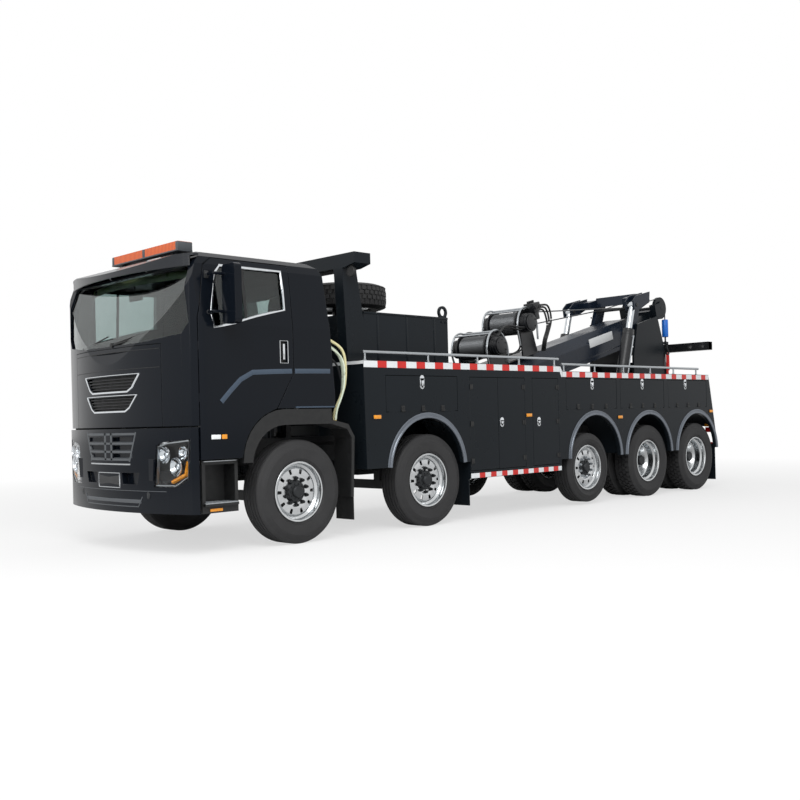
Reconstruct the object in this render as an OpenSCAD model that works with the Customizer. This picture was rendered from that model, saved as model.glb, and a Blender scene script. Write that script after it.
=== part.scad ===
// Ten-wheel-end heavy recovery truck (five axles): cab, locker body, boom with two winches, folding underlift.
// Millimetres. X forward, Y to the truck's left, Z up, ground at Z = 0, origin under the middle of its length.
// Inside the modules X is measured from the first axle, and place() moves the result to the origin.

/* [Wheels and axles] */
// Distance from axle 1 to axle 2
axle_gap_12 = 1850; // [1700:10:2100]
// Distance from axle 2 to axle 3, the lifted one
axle_gap_23 = 3080; // [3000:10:3400]
// Distance from axle 3 to axle 4
axle_gap_34 = 1500; // [1450:10:1600]
// Distance from axle 4 to axle 5
axle_gap_45 = 1370; // [1300:10:1450]
// Radius of a road tyre
tyre_r = 520; // [480:1:530]
// Width of one tyre
tyre_w = 296; // [250:1:300]
// Radius of the lifted axle's tyre
lift_tyre_r = 466; // [420:1:480]
// Height of the lifted axle above its running height
lift_axle_raise = 35; // [20:1:80]
// Radius of the rim's flange
rim_r = 301; // [290:1:305]
// Distance from the middle of the truck to the outside of its tyres
tyre_out_y = 1220; // [1180:1:1235]
// Distance between the middles of twin tyres
twin_gap = 342; // [335:1:350]
// Distance from the middle of the truck to a kingpin
kingpin_y = 850; // [820:1:860]
// Radius of a wheel spindle
spindle_r = 45; // [30:1:55]

/* [Cab] */
// Half of the cab's width
cab_half_w = 1245; // [1200:1:1250]
// Front of the cab ahead of axle 1
cab_front = 1405; // [1380:1:1500]
// Back of the cab behind axle 1
cab_back = 450; // [420:1:600]
// Underside of the cab's floor
cab_floor_z = 1352; // [1348:1:1380]
// Highest point of the cab's roof
cab_top_z = 2870; // [2800:1:3000]
// Thickness of the cab's walls and doors
cab_wall = 60; // [40:1:80]
// Radius of the bow in the cab's front, seen from above
cab_bow_r = 3600; // [3000:50:5000]
// Radius of the cab's front corners, seen from above
cab_corner_r = 170; // [120:5:250]
// Thickness of the glass
glass_t = 8; // [5:1:12]
// Highest point of the bumper
bumper_top_z = 1190; // [1150:1:1200]
// Lowest point of the bumper
bumper_low_z = 390; // [330:1:450]

/* [Locker body] */
// Half of the body's width
body_half_w = 1250; // [1200:1:1275]
// Front of the body behind axle 1
body_front = 845; // [830:1:900]
// Back of the body's top edge behind axle 5
body_back = 340; // [300:1:400]
// Top of the front part of the body
body_top_z = 1850; // [1800:1:1900]
// Top of the back part of the body
rear_top_z = 1785; // [1700:1:1850]
// Depth of a locker from its door to its back wall
locker_depth = 510; // [400:5:560]
// Thickness of the body's walls and flaps
body_wall = 25; // [15:1:35]
// Gap round each flap and door
door_gap = 6; // [5:1:10]
// Height of the handrail above the body
rail_h = 92; // [60:1:150]

/* [Boom] */
// Slope of the boom as it is parked, in degrees
boom_slope = 14.5; // [8:0.5:20]
// Width of the boom
boom_w = 600; // [500:5:620]
// Depth of the boom
boom_d = 416; // [350:2:440]
// Thickness of the boom's plates
boom_plate = 20; // [12:1:25]
// Distance from the boom's foot pin to the end of its outer section
boom_len = 3720; // [3500:10:3900]
// Distance from the boom's foot pin to its sheaves
tip_reach = 4620; // [4600:10:4800]
// Sideways place of a lift cylinder
lift_y = 590; // [570:1:600]
// Outside radius of a lift cylinder
lift_r = 88; // [60:1:90]

/* [Underlift] */
// Depth and width of the folding arm
arm_size = 240; // [180:5:260]
// Length of the folding arm from its hinge
arm_len = 1230; // [900:10:1300]
// Length of the crossbar
crossbar_len = 1950; // [1600:10:2100]
// Height and depth of the crossbar
crossbar_size = 132; // [100:2:150]

/* [Fits] */
// Running clearance round a pin or shaft
pin_play = 0.1; // [0.05:0.01:0.1]
// Gap between faces that bear on each other
seat_gap = 0.3; // [0.2:0.1:0.5]
// Gap between pieces that pass each other
pass_gap = 8; // [6:1:12]

/* [Hidden] */
$fn = 48;
axle_x = [0,
          -axle_gap_12,
          -axle_gap_12 - axle_gap_23,
          -axle_gap_12 - axle_gap_23 - axle_gap_34,
          -axle_gap_12 - axle_gap_23 - axle_gap_34 - axle_gap_45];
lift_axle = 2;
front_reach = cab_front + 15;
arm_x = axle_x[4] - 930;
rear_reach = -arm_x + arm_size / 2;
axle1_x = (rear_reach - front_reach) / 2;

body_rear_x = axle_x[4] - body_back;
locker_in_y = body_half_w - locker_depth;
frame_top_z = 1050;
rail_out_y = 430;
rail_in_y = 340;
rail_t = 10;
rail_web_y = rail_out_y - rail_t;
subframe_top_z = 1250;

boom_pin_x = -3900;
boom_pin_z = 1587;
boom_pin_r = 50;
lift_pin_x = -6530;
lift_pin_z = 1200;
lift_eye_x = -7050;
lift_eye_z = 2880;
lift_pin_r = 35;
lift_lean = atan2(lift_pin_x - lift_eye_x, lift_eye_z - lift_pin_z);
lift_len = norm([lift_pin_x - lift_eye_x, lift_eye_z - lift_pin_z]);

column_x = arm_x + 305;
arm_pin_z = 830;
arm_pin_r = 35;
crossbar_z = arm_pin_z + arm_len + 225;
rail_end_x = column_x + 205;
body_rear_low_x = body_rear_x - 245;

// Locker doors and flaps: front edge, back edge, low edge, top edge, edge with the hinge
DOOR_FRONT = 0;
DOOR_BACK = 1;
DOOR_LOW = 2;
DOOR_TOP = 3;
DOOR_HINGE = 4;
lockers = [[-1165, -2295, 1300, 1690, DOOR_LOW],
           [-2515, -3016, 590, 1685, DOOR_FRONT],
           [-3022, -3530, 590, 1685, DOOR_BACK],
           [-3690, -4222, 590, 1685, DOOR_BACK],
           [-4400, -5560, 1290, 1690, DOOR_LOW],
           [-5662, -6800, 1290, 1690, DOOR_LOW],
           [-6930, -8060, 1290, 1690, DOOR_LOW]];

// Moves a piece drawn from the first axle to the truck's own origin
module place() {
    translate([axle1_x, 0, 0]) children();
}

module left_and_right() {
    children();
    mirror([0, 1, 0]) children();
}

// Puts a piece drawn for the left on the left (1) or the right (-1)
module on_side(side) {
    if (side > 0) children();
    else mirror([0, 1, 0]) children();
}

// A plate lying in X and Z, between two values of Y
module side_plate(y0, y1) {
    translate([0, y1, 0]) rotate([90, 0, 0]) linear_extrude(y1 - y0) children();
}

// A plate lying in Y and Z, between two values of X
module cross_plate(x0, x1) {
    translate([x0, 0, 0]) rotate([90, 0, 90]) linear_extrude(x1 - x0) children();
}

module box(x0, x1, y0, y1, z0, z1) {
    translate([x0, y0, z0]) cube([x1 - x0, y1 - y0, z1 - z0]);
}

module pin_y(x, z, r, y0, y1) {
    translate([x, y0, z]) rotate([-90, 0, 0]) cylinder(r = r, h = y1 - y0);
}

module pin_x(y, z, r, x0, x1) {
    translate([x0, y, z]) rotate([0, 90, 0]) cylinder(r = r, h = x1 - x0);
}

function arc(cx, cy, r, a0, a1, n = 8) = [for (i = [0:n]) let (a = a0 + (a1 - a0) * i / n) [cx + r * cos(a), cy + r * sin(a)]];

module round_square(x0, x1, y0, y1, r) {
    translate([x0 + r, y0]) square([x1 - x0 - 2 * r, y1 - y0]);
    translate([x0, y0 + r]) square([x1 - x0, y1 - y0 - 2 * r]);
    for (x = [x0 + r, x1 - r], y = [y0 + r, y1 - r]) translate([x, y]) circle(r);
}

// ---- Chassis ----

module chassis_frame() {
    rail_d = 280;
    color("#1b1d20") place() left_and_right() {
        difference() {
            box(rail_end_x, 1150, rail_in_y, rail_out_y, frame_top_z - rail_d, frame_top_z);
            box(rail_end_x - 1, 1200, rail_in_y - 1, rail_web_y, frame_top_z - rail_d + rail_t, frame_top_z - rail_t);
        }
        for (x = [1080, -1330, -2600, -3500, -4200, -5690, -7120, -8120])
            box(x - 40, x + 40, -1, rail_web_y + 1, frame_top_z - 75, frame_top_z - rail_t + 1);
        // Bumper brackets
        box(1120, 1300 - seat_gap, rail_in_y, rail_out_y, 700, 900);
        // Cab mounts
        box(960, 1040, rail_in_y + 5, rail_out_y - 5, frame_top_z - 1, cab_floor_z - seat_gap);
        box(-430, -370, rail_in_y, 520, frame_top_z - 1, frame_top_z + 60);
        box(-430, -370, 440, 520, frame_top_z + 59, cab_floor_z - seat_gap);
        // Tank between axles 2 and 3
        box(-4150, -2750, rail_out_y - 1, 730, 560, 980);
    }
}

module engine_block() {
    color("#55585c") place() {
        box(-350, 800, -325, 325, 640, 1200);
        box(-1250, -349, -230, 230, 660, 1000);
        // Mounts on the chassis rails
        for (x = [-860, -150, 550]) box(x - 40, x + 40, -rail_web_y + seat_gap, rail_web_y - seat_gap, 800, 870);
    }
}

// Beams, springs and drive heads of all five axles, up to the kingpins and spindles
module axles() {
    spring_y = 385;
    spring_top_z = frame_top_z - 280 - seat_gap;
    shaft_start = [-1254, 900];
    shaft_end = [axle_x[3] + 555, 560];
    color("#26282b") place() {
        // Propeller shafts to axle 4 and from there to axle 5
        translate([shaft_end[0], 0, shaft_end[1]])
            rotate([0, atan2(shaft_start[0] - shaft_end[0], shaft_start[1] - shaft_end[1]), 0])
            cylinder(r = 38, h = norm(shaft_start - shaft_end) - 1);
        pin_x(0, tyre_r, 38, axle_x[4] + 550, axle_x[3] - 190);
        for (i = [0, 1]) {
            box(axle_x[i] - 45, axle_x[i] + 45, -690, 690, 400, 500);
            left_and_right() {
                difference() {
                    union() {
                        translate([axle_x[i], kingpin_y, tyre_r - 60]) cylinder(r = 50, h = 120);
                        box(axle_x[i] - 45, axle_x[i] + 45, 650, kingpin_y, tyre_r - 54, tyre_r - 10);
                    }
                    translate([axle_x[i], kingpin_y, tyre_r - 100]) cylinder(r = 25 + pin_play, h = 200);
                }
                box(axle_x[i] - 700, axle_x[i] + 700, spring_y - 40, spring_y + 40, 620, 680);
                box(axle_x[i] - 60, axle_x[i] + 60, spring_y - 50, spring_y + 50, 500, 620);
                for (e = [-690, 610]) box(axle_x[i] + e, axle_x[i] + e + 80, spring_y - 40, spring_y + 40, 679, spring_top_z);
            }
        }
        for (i = [2, 3, 4]) {
            z = i == lift_axle ? lift_tyre_r + lift_axle_raise : tyre_r;
            in_y = axle_in_y(i);
            pin_y(axle_x[i], z, 75, -in_y, in_y);
            pin_y(axle_x[i], z, spindle_r, -in_y - 140, in_y + 140);
            if (i != lift_axle) {
                translate([axle_x[i], 0, z]) sphere(200);
                pin_x(0, z, 60, axle_x[i], axle_x[i] + 560);
            }
            left_and_right() {
                box(axle_x[i] - 600, axle_x[i] + 600, spring_y - 40, spring_y + 40, 640, 710);
                box(axle_x[i] - 60, axle_x[i] + 60, spring_y - 50, spring_y + 50, z, 640);
                for (e = [-590, 510]) box(axle_x[i] + e, axle_x[i] + e + 80, spring_y - 40, spring_y + 40, 709, spring_top_z);
            }
        }
    }
}

// Sideways place of a wheel's inner end
function axle_in_y(i) = i > lift_axle ? tyre_out_y - tyre_w - twin_gap - pass_gap : 880;

module knuckle(i, side) {
    color("#33363a") place() on_side(side) translate([axle_x[i], 0, tyre_r]) {
        translate([0, kingpin_y, -110]) cylinder(r = 25, h = 220);
        for (z = [-110, 62]) translate([0, kingpin_y, z]) cylinder(r = 50, h = 48);
        box(-50, 50, kingpin_y + 56, kingpin_y + 76, -110, 110);
        for (z = [-110, 62]) box(-50, 50, kingpin_y, kingpin_y + 76, z, z + 48);
        pin_y(0, 0, spindle_r, kingpin_y + 70, kingpin_y + 250);
    }
}

// Distance from a rim's middle to the outside of its flange, and the flange's thickness
flange_y = tyre_w / 2 - 30;
flange_t = 10;

// One side of a tyre's section, from bead to tread: radius and distance from its middle
function tyre_side(r, hw, s) = concat(
    [[rim_r + seat_gap, s * (flange_y - flange_t - seat_gap)]],
    [for (p = arc((rim_r + r) / 2 - 10, hw - 150, 150, 130, 48, 6)) [p[0], s * p[1]]],
    [[r - 6, s * (hw - 31)], [r, s * (hw - 43)]]);

function reversed(v) = [for (i = [len(v) - 1:-1:0]) v[i]];

// Tyre turned about Y, with its middle at Y = 0
module tyre(r, w) {
    rotate([-90, 0, 0]) rotate_extrude($fn = 96)
        difference() {
            polygon(concat([[rim_r - 30, -flange_y + flange_t + seat_gap], [rim_r - 30, flange_y - flange_t - seat_gap]],
                           tyre_side(r, w / 2, 1), reversed(tyre_side(r, w / 2, -1))));
            translate([0, -w]) square([rim_r - 13 + seat_gap, 2 * w]);
        }
}

// Rim barrel turned about Y, with its flanges
module rim_barrel() {
    rotate([-90, 0, 0]) rotate_extrude($fn = 96)
        difference() {
            translate([rim_r - 55, -flange_y]) square([55, 2 * flange_y]);
            translate([rim_r - 13, -flange_y + flange_t]) square([30, 2 * (flange_y - flange_t)]);
            polygon([[rim_r - 60, -flange_y - 1], [rim_r - 26, -flange_y - 1], [rim_r - 26, -66],
                     [rim_r - 49, -44], [rim_r - 49, 44], [rim_r - 26, 66], [rim_r - 26, flange_y + 1],
                     [rim_r - 60, flange_y + 1]]);
        }
}

// Single wheel for axles 1, 2 and 3, drawn for the left with the wheel's middle at the origin
module single_wheel(r) {
    disc_y = 52;
    hand_holes = 10;
    tyre(r, tyre_w);
    difference() {
        union() {
            rim_barrel();
            pin_y(0, 0, rim_r - 30, disc_y, disc_y + 16);
            pin_y(0, 0, 100, hub_in_y(), 78);
            pin_y(0, 0, 62, 78, 112);
        }
        for (a = [0:hand_holes - 1]) rotate([0, a * 360 / hand_holes, 0]) pin_y(195, 0, 24, disc_y - 1, disc_y + 17);
        pin_y(0, 0, spindle_r + pin_play, hub_in_y() - 1, 32);
    }
}

function hub_in_y() = 936 - (tyre_out_y - tyre_w / 2);

// Twin wheel for axles 4 and 5: two tyres and rims on one hub, the outer one at the origin
module twin_wheel(r) {
    middle = -twin_gap / 2;
    hub_start = axle_in_y(3) + 26 - (tyre_out_y - tyre_w / 2);
    hand_holes = 8;
    for (y = [0, -twin_gap]) translate([0, y, 0]) tyre(r, tyre_w);
    difference() {
        union() {
            for (y = [0, -twin_gap]) translate([0, y, 0]) rim_barrel();
            translate([0, middle, 0]) for (s = [1, -1]) rotate([-90 * s, 0, 0]) rotate_extrude($fn = 96)
                polygon([[0, 0], [205, 0], [rim_r - 44, 110], [rim_r - 44, 128], [rim_r - 60, 128], [196, 16], [0, 16]]);
            pin_y(0, 0, 108, hub_start, -62);
            pin_y(0, 0, 70, -62, 4);
        }
        for (a = [0:hand_holes - 1]) rotate([0, (a + 0.5) * 360 / hand_holes, 0]) pin_y(160, 0, 26, middle - 20, middle + 20);
        pin_y(0, 0, spindle_r + pin_play, hub_start - 1, hub_start + 130);
    }
}

module wheel(i, side) {
    r = i == lift_axle ? lift_tyre_r : tyre_r;
    z = i == lift_axle ? lift_tyre_r + lift_axle_raise : tyre_r;
    color("#2a2b2c") place() on_side(side) translate([axle_x[i], tyre_out_y - tyre_w / 2, z]) {
        if (i > lift_axle) twin_wheel(r);
        else single_wheel(r);
    }
}

// ---- Cab ----

belt_z = 2150;
roof_lean = 55;
screen_low_z = 2045;
screen_top_z = 2690;
door_front_x = 1150;
door_back_x = 80;
door_low_z = 890;
panel_half_w = 830;
panel_low_z = 1204;
panel_t = 28;
skirt_x = 1080;
panel_top_z = 1975;

// Side outline of the cab, brought in by t: front, windscreen, brow, roof, back, floor, front skirt
module cab_side_outline(t) {
    polygon([[cab_front - t, panel_low_z + t], [cab_front - t, 1820], [cab_front - 40 - t, 2040],
             [1150 - t, 2710], [1085 - t, 2790], [1000 - t * 0.6, 2845 - t], [700, cab_top_z - t],
             [0, cab_top_z - 10 - t], [-230 + t * 0.5, 2835 - t], [-320 + t, 2770 - t * 0.5],
             [-360 + t, 2700], [-cab_back + t, 1500], [-cab_back + t, cab_floor_z + t],
             [skirt_x + t, cab_floor_z + t], [skirt_x + t, panel_low_z + t]]);
}

// Plan of the cab, brought in by t, with a bowed front and rounded corners
module cab_plan(t) {
    intersection() {
        translate([cab_front - cab_bow_r, 0]) circle(cab_bow_r - t, $fn = 360);
        union() {
            translate([-1000, -cab_half_w + t]) square([cab_front - 165 - cab_corner_r + 1000, 2 * (cab_half_w - t)]);
            translate([-1000, -cab_half_w + cab_corner_r]) square([cab_front + 1000, 2 * (cab_half_w - cab_corner_r)]);
            for (s = [1, -1]) translate([cab_front - 165 - cab_corner_r, s * (cab_half_w - cab_corner_r)]) circle(cab_corner_r - t);
        }
    }
}

// Front view of the cab, brought in by t, leaning in above the belt line
module cab_front_outline(t) {
    h = cab_half_w - t;
    polygon([[-h, cab_floor_z - 500], [h, cab_floor_z - 500], [h, belt_z], [h - roof_lean, 2700],
             [h - roof_lean - 35, 2775 - t / 2], [h - roof_lean - 110, 2825 - t], [h - 320, cab_top_z - 12 - t],
             [0, cab_top_z - t], [-h + 320, cab_top_z - 12 - t], [-h + roof_lean + 110, 2825 - t],
             [-h + roof_lean + 35, 2775 - t / 2], [-h + roof_lean, 2700], [-h, belt_z]]);
}

module cab_form(t) {
    intersection() {
        side_plate(-1500, 1500) cab_side_outline(t);
        linear_extrude(3500) cab_plan(t);
        cross_plate(-1000, 2000) cab_front_outline(t);
    }
}

// Door outline in X and Z, grown by g for the opening that it closes
module door_outline(g) {
    polygon(concat([[door_front_x + g, door_low_z - g], [door_front_x + g, 2200], [1062 + g, 2690 + g],
                    [960, 2765 + g], [door_back_x - g, 2765 + g], [door_back_x - g, 1700],
                    [290 - g, 1353 - g]],
                   arc(200, 850, 503 + g, 72, 8, 6),
                   [[706, door_low_z - g]]));
}

// Window of the cab door, brought in by t
module door_window_outline(t) {
    polygon([[160 + t, 2320 + t], [500, 2240 + t], [760, 2160 + t], [985 - t, 2110 + t], [1010 - t, 2250],
             [930 - t, 2640], [880 - t, 2700 - t], [170 + t, 2700 - t]]);
}

// Space that a cab door closes, grown by g: the wall's thickness at its foot, deeper where the wall leans in
module door_space(g) {
    side_plate(cab_half_w - cab_wall - g, 1400) door_outline(g);
    intersection() {
        side_plate(cab_half_w - cab_wall - 95 - g, 1400) door_outline(g);
        box(-500, 1500, 0, 1500, belt_z - 200 - g, 3000);
    }
}

module cab_shell() {
    color("#14171c") place() difference() {
        cab_form(0);
        cab_form(cab_wall);
        // Windscreen, with a rebate for the glass
        cross_plate(1000, 1600) windscreen_outline(0);
        // Rear window
        cross_plate(-700, -200) translate([0, 2350]) round_square(-450, 450, -170, 200, 60);
        // Door openings
        left_and_right() door_space(door_gap + 1);
        // Place for the hinged front panel
        difference() {
            box(1100, 1500, -panel_half_w - door_gap, panel_half_w + door_gap, 0, panel_top_z + door_gap);
            cab_form(panel_t + 2 * door_gap);
            linear_extrude(screen_low_z - 500) cab_plan(panel_t + 2 * door_gap);
        }
        // Engine tunnel
        box(-600, 900, -420, 420, cab_floor_z - 10, cab_floor_z + cab_wall + 1);
    }
    // Raised engine cover inside
    color("#14171c") place() difference() {
        box(-cab_back + cab_wall - 1, 940, -460, 460, cab_floor_z + 1, 1500);
        box(-cab_back + cab_wall - 2, 900, -420, 420, cab_floor_z, 1460);
    }
}

module windscreen_outline(t) {
    polygon([[-1165 + t, screen_low_z + 110 + t], [-1080 + t, screen_low_z + 10 + t], [-600, screen_low_z - 40 + t],
             [600, screen_low_z - 40 + t], [1080 - t, screen_low_z + 10 + t], [1165 - t, screen_low_z + 110 + t],
             [1105 - t, screen_top_z - 30 - t], [1060 - t, screen_top_z - t], [-1060 + t, screen_top_z - t],
             [-1105 + t, screen_top_z - 30 - t]]);
}

module windscreen() {
    color("#3a4a55") place() intersection() {
        difference() {
            cab_form(20);
            cab_form(20 + glass_t);
        }
        union() {
            cross_plate(1000, 1600) windscreen_outline(seat_gap);
            cross_plate(-700, -200) translate([0, 2350])
                round_square(-450 + seat_gap, 450 - seat_gap, -170 + seat_gap, 200 - seat_gap, 60 - seat_gap);
        }
    }
}

module cab_door(side) {
    hinge_x = door_front_x + (door_gap + 1) / 2;
    hinge_y = cab_half_w - 26;
    hinge_r = (door_gap + 1) / 2 - seat_gap;
    // Hinge barrels in the gap at its front edge, and their leaves
    color("#14171c") place() on_side(side) for (z = [1420, 1900]) {
        translate([hinge_x, hinge_y, z]) cylinder(r = hinge_r, h = 80);
        box(door_front_x - 1, hinge_x, hinge_y - hinge_r, hinge_y + hinge_r, z, z + 80);
    }
    color("#14171c") place() on_side(side) difference() {
        union() {
            intersection() {
                difference() {
                    cab_form(0);
                    cab_form(cab_wall);
                }
                door_space(0);
            }
            // Lower flap over the steps
            intersection() {
                linear_extrude(cab_floor_z + cab_wall + 1) difference() {
                    cab_plan(0);
                    cab_plan(cab_wall);
                }
                side_plate(cab_half_w - cab_wall, 1400) door_outline(0);
            }
        }
        side_plate(1000, 1400) door_window_outline(0);
        // Handle recess
        box(150, 235, cab_half_w - 28, cab_half_w + 10, 1800, 2010);
    }
}

module door_glass(side) {
    color("#3a4a55") place() on_side(side) intersection() {
        difference() {
            cab_form(24);
            cab_form(24 + glass_t);
        }
        side_plate(1000, 1400) door_window_outline(seat_gap);
    }
}

module seats() {
    color("#1c1c1e") place() for (y = [-760, 760]) {
        box(-60, 470, y - 250, y + 250, 1640, 1770);
        box(60, 350, y - 180, y + 180, cab_floor_z + cab_wall + seat_gap, 1640);
        side_plate(y - 240, y + 240) polygon([[-60, 1769], [80, 1769], [-40, 2330], [-160, 2330]]);
        side_plate(y - 130, y + 130) polygon([[-45, 2329], [-130, 2329], [-165, 2530], [-85, 2530]]);
    }
}

module dashboard() {
    wheel_y = 760;
    color("#222428") place() {
        side_plate(-1060, 1060) polygon([[820, 1500 + seat_gap], [1150, 1500 + seat_gap], [1150, 2000], [1100, 2010], [900, 1900]]);
        translate([700, wheel_y, 1960]) rotate([0, -62, 0]) {
            rotate_extrude() translate([220, 0]) circle(16);
            translate([0, 0, -8]) for (a = [0, 120, 240]) rotate([0, 0, a]) translate([0, -20, 0]) cube([212, 40, 12]);
            translate([0, 0, -260]) cylinder(r = 40, h = 270);
        }
    }
}

module front_panel() {
    color("#101317") place() difference() {
        intersection() {
            difference() {
                cab_form(0);
                cab_form(panel_t);
                linear_extrude(screen_low_z - 500) cab_plan(panel_t);
            }
            box(1100, 1500, -panel_half_w, panel_half_w, panel_low_z, panel_top_z);
        }
        // Two stacked grille openings
        cross_plate(1390 - 60, 1500) polygon([[-520, 1700], [520, 1700], [400, 1590], [330, 1560], [-330, 1560], [-400, 1590]]);
        cross_plate(1390 - 60, 1500) polygon([[-480, 1500], [480, 1500], [390, 1400], [320, 1370], [-320, 1370], [-390, 1400]]);
    }
}

module bumper_plan(t) {
    intersection() {
        translate([front_reach - cab_bow_r, 0]) circle(cab_bow_r - t, $fn = 360);
        union() {
            translate([1000, -cab_half_w + t]) square([front_reach - 165 - cab_corner_r - 1000, 2 * (cab_half_w - t)]);
            translate([1000, -cab_half_w + cab_corner_r]) square([500, 2 * (cab_half_w - cab_corner_r)]);
            for (s = [1, -1]) translate([front_reach - 165 - cab_corner_r, s * (cab_half_w - cab_corner_r)]) circle(cab_corner_r - t);
        }
    }
}

module headlamp_outline(t) {
    polygon([[720 + t, 640 + t], [1000, 640 + t], [1150 - t, 720 + t], [1165 - t, 1085 - t], [860, 1060 - t], [760 + t, 1030 - t]]);
}

module bumper() {
    color("#14171c") place() difference() {
        union() {
            difference() {
                translate([0, 0, bumper_low_z]) linear_extrude(bumper_top_z - bumper_low_z) bumper_plan(0);
                translate([0, 0, bumper_low_z - 1]) linear_extrude(bumper_top_z - bumper_low_z + 2) bumper_plan(70);
            }
            // Cross beam behind the skin
            box(1300, 1360, -900, 900, 700, 900);
        }
        box(900, door_front_x + door_gap, -1400, 1400, 0, 1400);
        // Corner that the door's front edge swings past
        left_and_right() linear_extrude(bumper_top_z + 1)
            polygon([[door_front_x, 1205], [door_front_x + 40, 1235], [door_front_x + 40, 1260], [door_front_x, 1260]]);
        left_and_right() cross_plate(1100, 1500) headlamp_outline(0);
        // Slots beside the number plate and the cooling grille
        for (z = [1090, 1010, 930]) left_and_right() box(1380, 1500, 90, 420, z - 22, z + 22);
        left_and_right() cross_plate(1350, 1500) polygon([[240, 770], [520, 770], [480, 660], [260, 660]]);
    }
}

module headlamps() {
    color("#c8d0d6") place() left_and_right() intersection() {
        cross_plate(1165, 1500) headlamp_outline(seat_gap);
        linear_extrude(1500) difference() {
            bumper_plan(4);
            bumper_plan(60);
        }
    }
}

// Just above the roof where it falls to the brow
function roof_z(x) = 2845 + (cab_top_z - 2845) * (1000 - x) / 300 + seat_gap;

module sun_visor() {
    brow = [[1150, 2710], [1085, 2790]];
    color("#14171c") place() {
        difference() {
            intersection() {
                linear_extrude(3500) translate([-45, 0]) cab_plan(0);
                side_plate(-1190, 1190) polygon([[1105, 2796], [1230, 2796], [1400, 2712], [1400, 2680], [1105, 2680]]);
            }
            intersection() {
                linear_extrude(3500) translate([-45, 0]) cab_plan(20);
                side_plate(-1300, 1300) polygon([[1000, 2776], [1225, 2776], [1400, 2692], [1400, 2600], [1000, 2600]]);
            }
            box(1000, 1172, -1300, 1300, 2600, 2772);
        }
        // Brackets on the cab's brow
        for (y = [-1000, -350, 350, 1000]) side_plate(y - 15, y + 15)
            polygon([brow[0] + [seat_gap, seat_gap], brow[1] + [seat_gap, seat_gap], [1110, 2792], [1185, 2785], [1185, 2740]]);
    }
    // Light bar on the roof and its feet
    color("#c8452a") place() box(820, 980, -640, 640, cab_top_z + 40, cab_top_z + 130);
    color("#14171c") place() for (y = [-500, 500]) side_plate(y - 30, y + 30)
        polygon([[870, roof_z(870)], [930, roof_z(930)], [930, cab_top_z + 41], [870, cab_top_z + 41]]);
}

// Outer face of the cab's side wall at height z, above the belt line
function wall_y(z) = cab_half_w - roof_lean * (z - belt_z) / (2700 - belt_z);

module side_mirror(side) {
    arm_x1 = 1040;
    arm_r = 14;
    color("#15181d") place() on_side(side) {
        cross_plate(850, 925) round_square(1290, 1500, 2140, 2690, 40);
        // Tubular arms from the door frame
        for (z = [2250, 2600]) {
            pin_y(arm_x1, z, arm_r, wall_y(z - arm_r) + seat_gap, 1330);
            pin_x(1330, z, arm_r, 900, arm_x1);
            translate([arm_x1, 1330, z]) sphere(arm_r, $fn = 32);
        }
    }
}

// Steps, arch trims and mudguards round the first wheels
module front_fenders() {
    arch_in = concat([[-400, 1190]], arc(200, 800, 390, 90, 0, 8), [[590, 840]]);
    arch_out = concat([[700, 840]], arc(200, 850, 494, 0, 90, 8), [[-400, 1344]]);
    color("#1a1d21") place() left_and_right() {
        side_plate(cab_half_w - 90, cab_half_w - 1) polygon(concat(arch_in, arch_out));
        // Step box and its two treads
        difference() {
            box(724, 1120, 930, 1180, 390, 880);
            box(760, 1085, 1000, 1181, 480, 840);
        }
        box(740, 1110, 1000, 1215, 455, 480);
        box(740, 1110, 1000, 1180, 845, 870);
        // Mudguard behind the wheel and its flap
        side_plate(950, 1225) polygon([[-399, 1192], [-399, 1235], [-640, 1180], [-720, 1050], [-690, 420], [-655, 420], [-680, 1040], [-620, 1130]]);
        box(-688, -676, 950, 1225, 180, 430);
        // Stay from the chassis rail
        box(-700, -672, rail_out_y + seat_gap, 960, 960, 1000);
        box(900, 940, rail_out_y + seat_gap, 940, 780, 830);
    }
}

// ---- Locker body ----

arch_lip_w = 60;
arch_out_r = 635;
// Arches: axle, distance of the arch's middle behind the axle, height of its middle
arches = [[1, -50, 645], [2, 122, 627], [3, -40, 617], [4, -50, 612]];
ARCH_AXLE = 0;
ARCH_SHIFT = 1;
ARCH_Z = 2;

module body_outline() {
    polygon([[-body_front, body_top_z], [-body_front - 20, 696], [-2500, 696], [-2500, 495], [-4262, 495],
             [-4262, 640], [body_rear_low_x, 640], [body_rear_x, rear_top_z], [-4310, rear_top_z], [-4275, body_top_z]]);
}

module arch_cut(r) {
    for (a = arches) translate([axle_x[a[ARCH_AXLE]] - a[ARCH_SHIFT], 0]) {
        translate([0, a[ARCH_Z]]) circle(r, $fn = 96);
        translate([-r, 0]) square([2 * r, a[ARCH_Z]]);
    }
}

module locker_outline(k, g) {
    d = lockers[k];
    translate([d[DOOR_BACK] - g, d[DOOR_LOW] - g])
        square([d[DOOR_FRONT] - d[DOOR_BACK] + 2 * g, d[DOOR_TOP] - d[DOOR_LOW] + 2 * g]);
}

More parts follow.
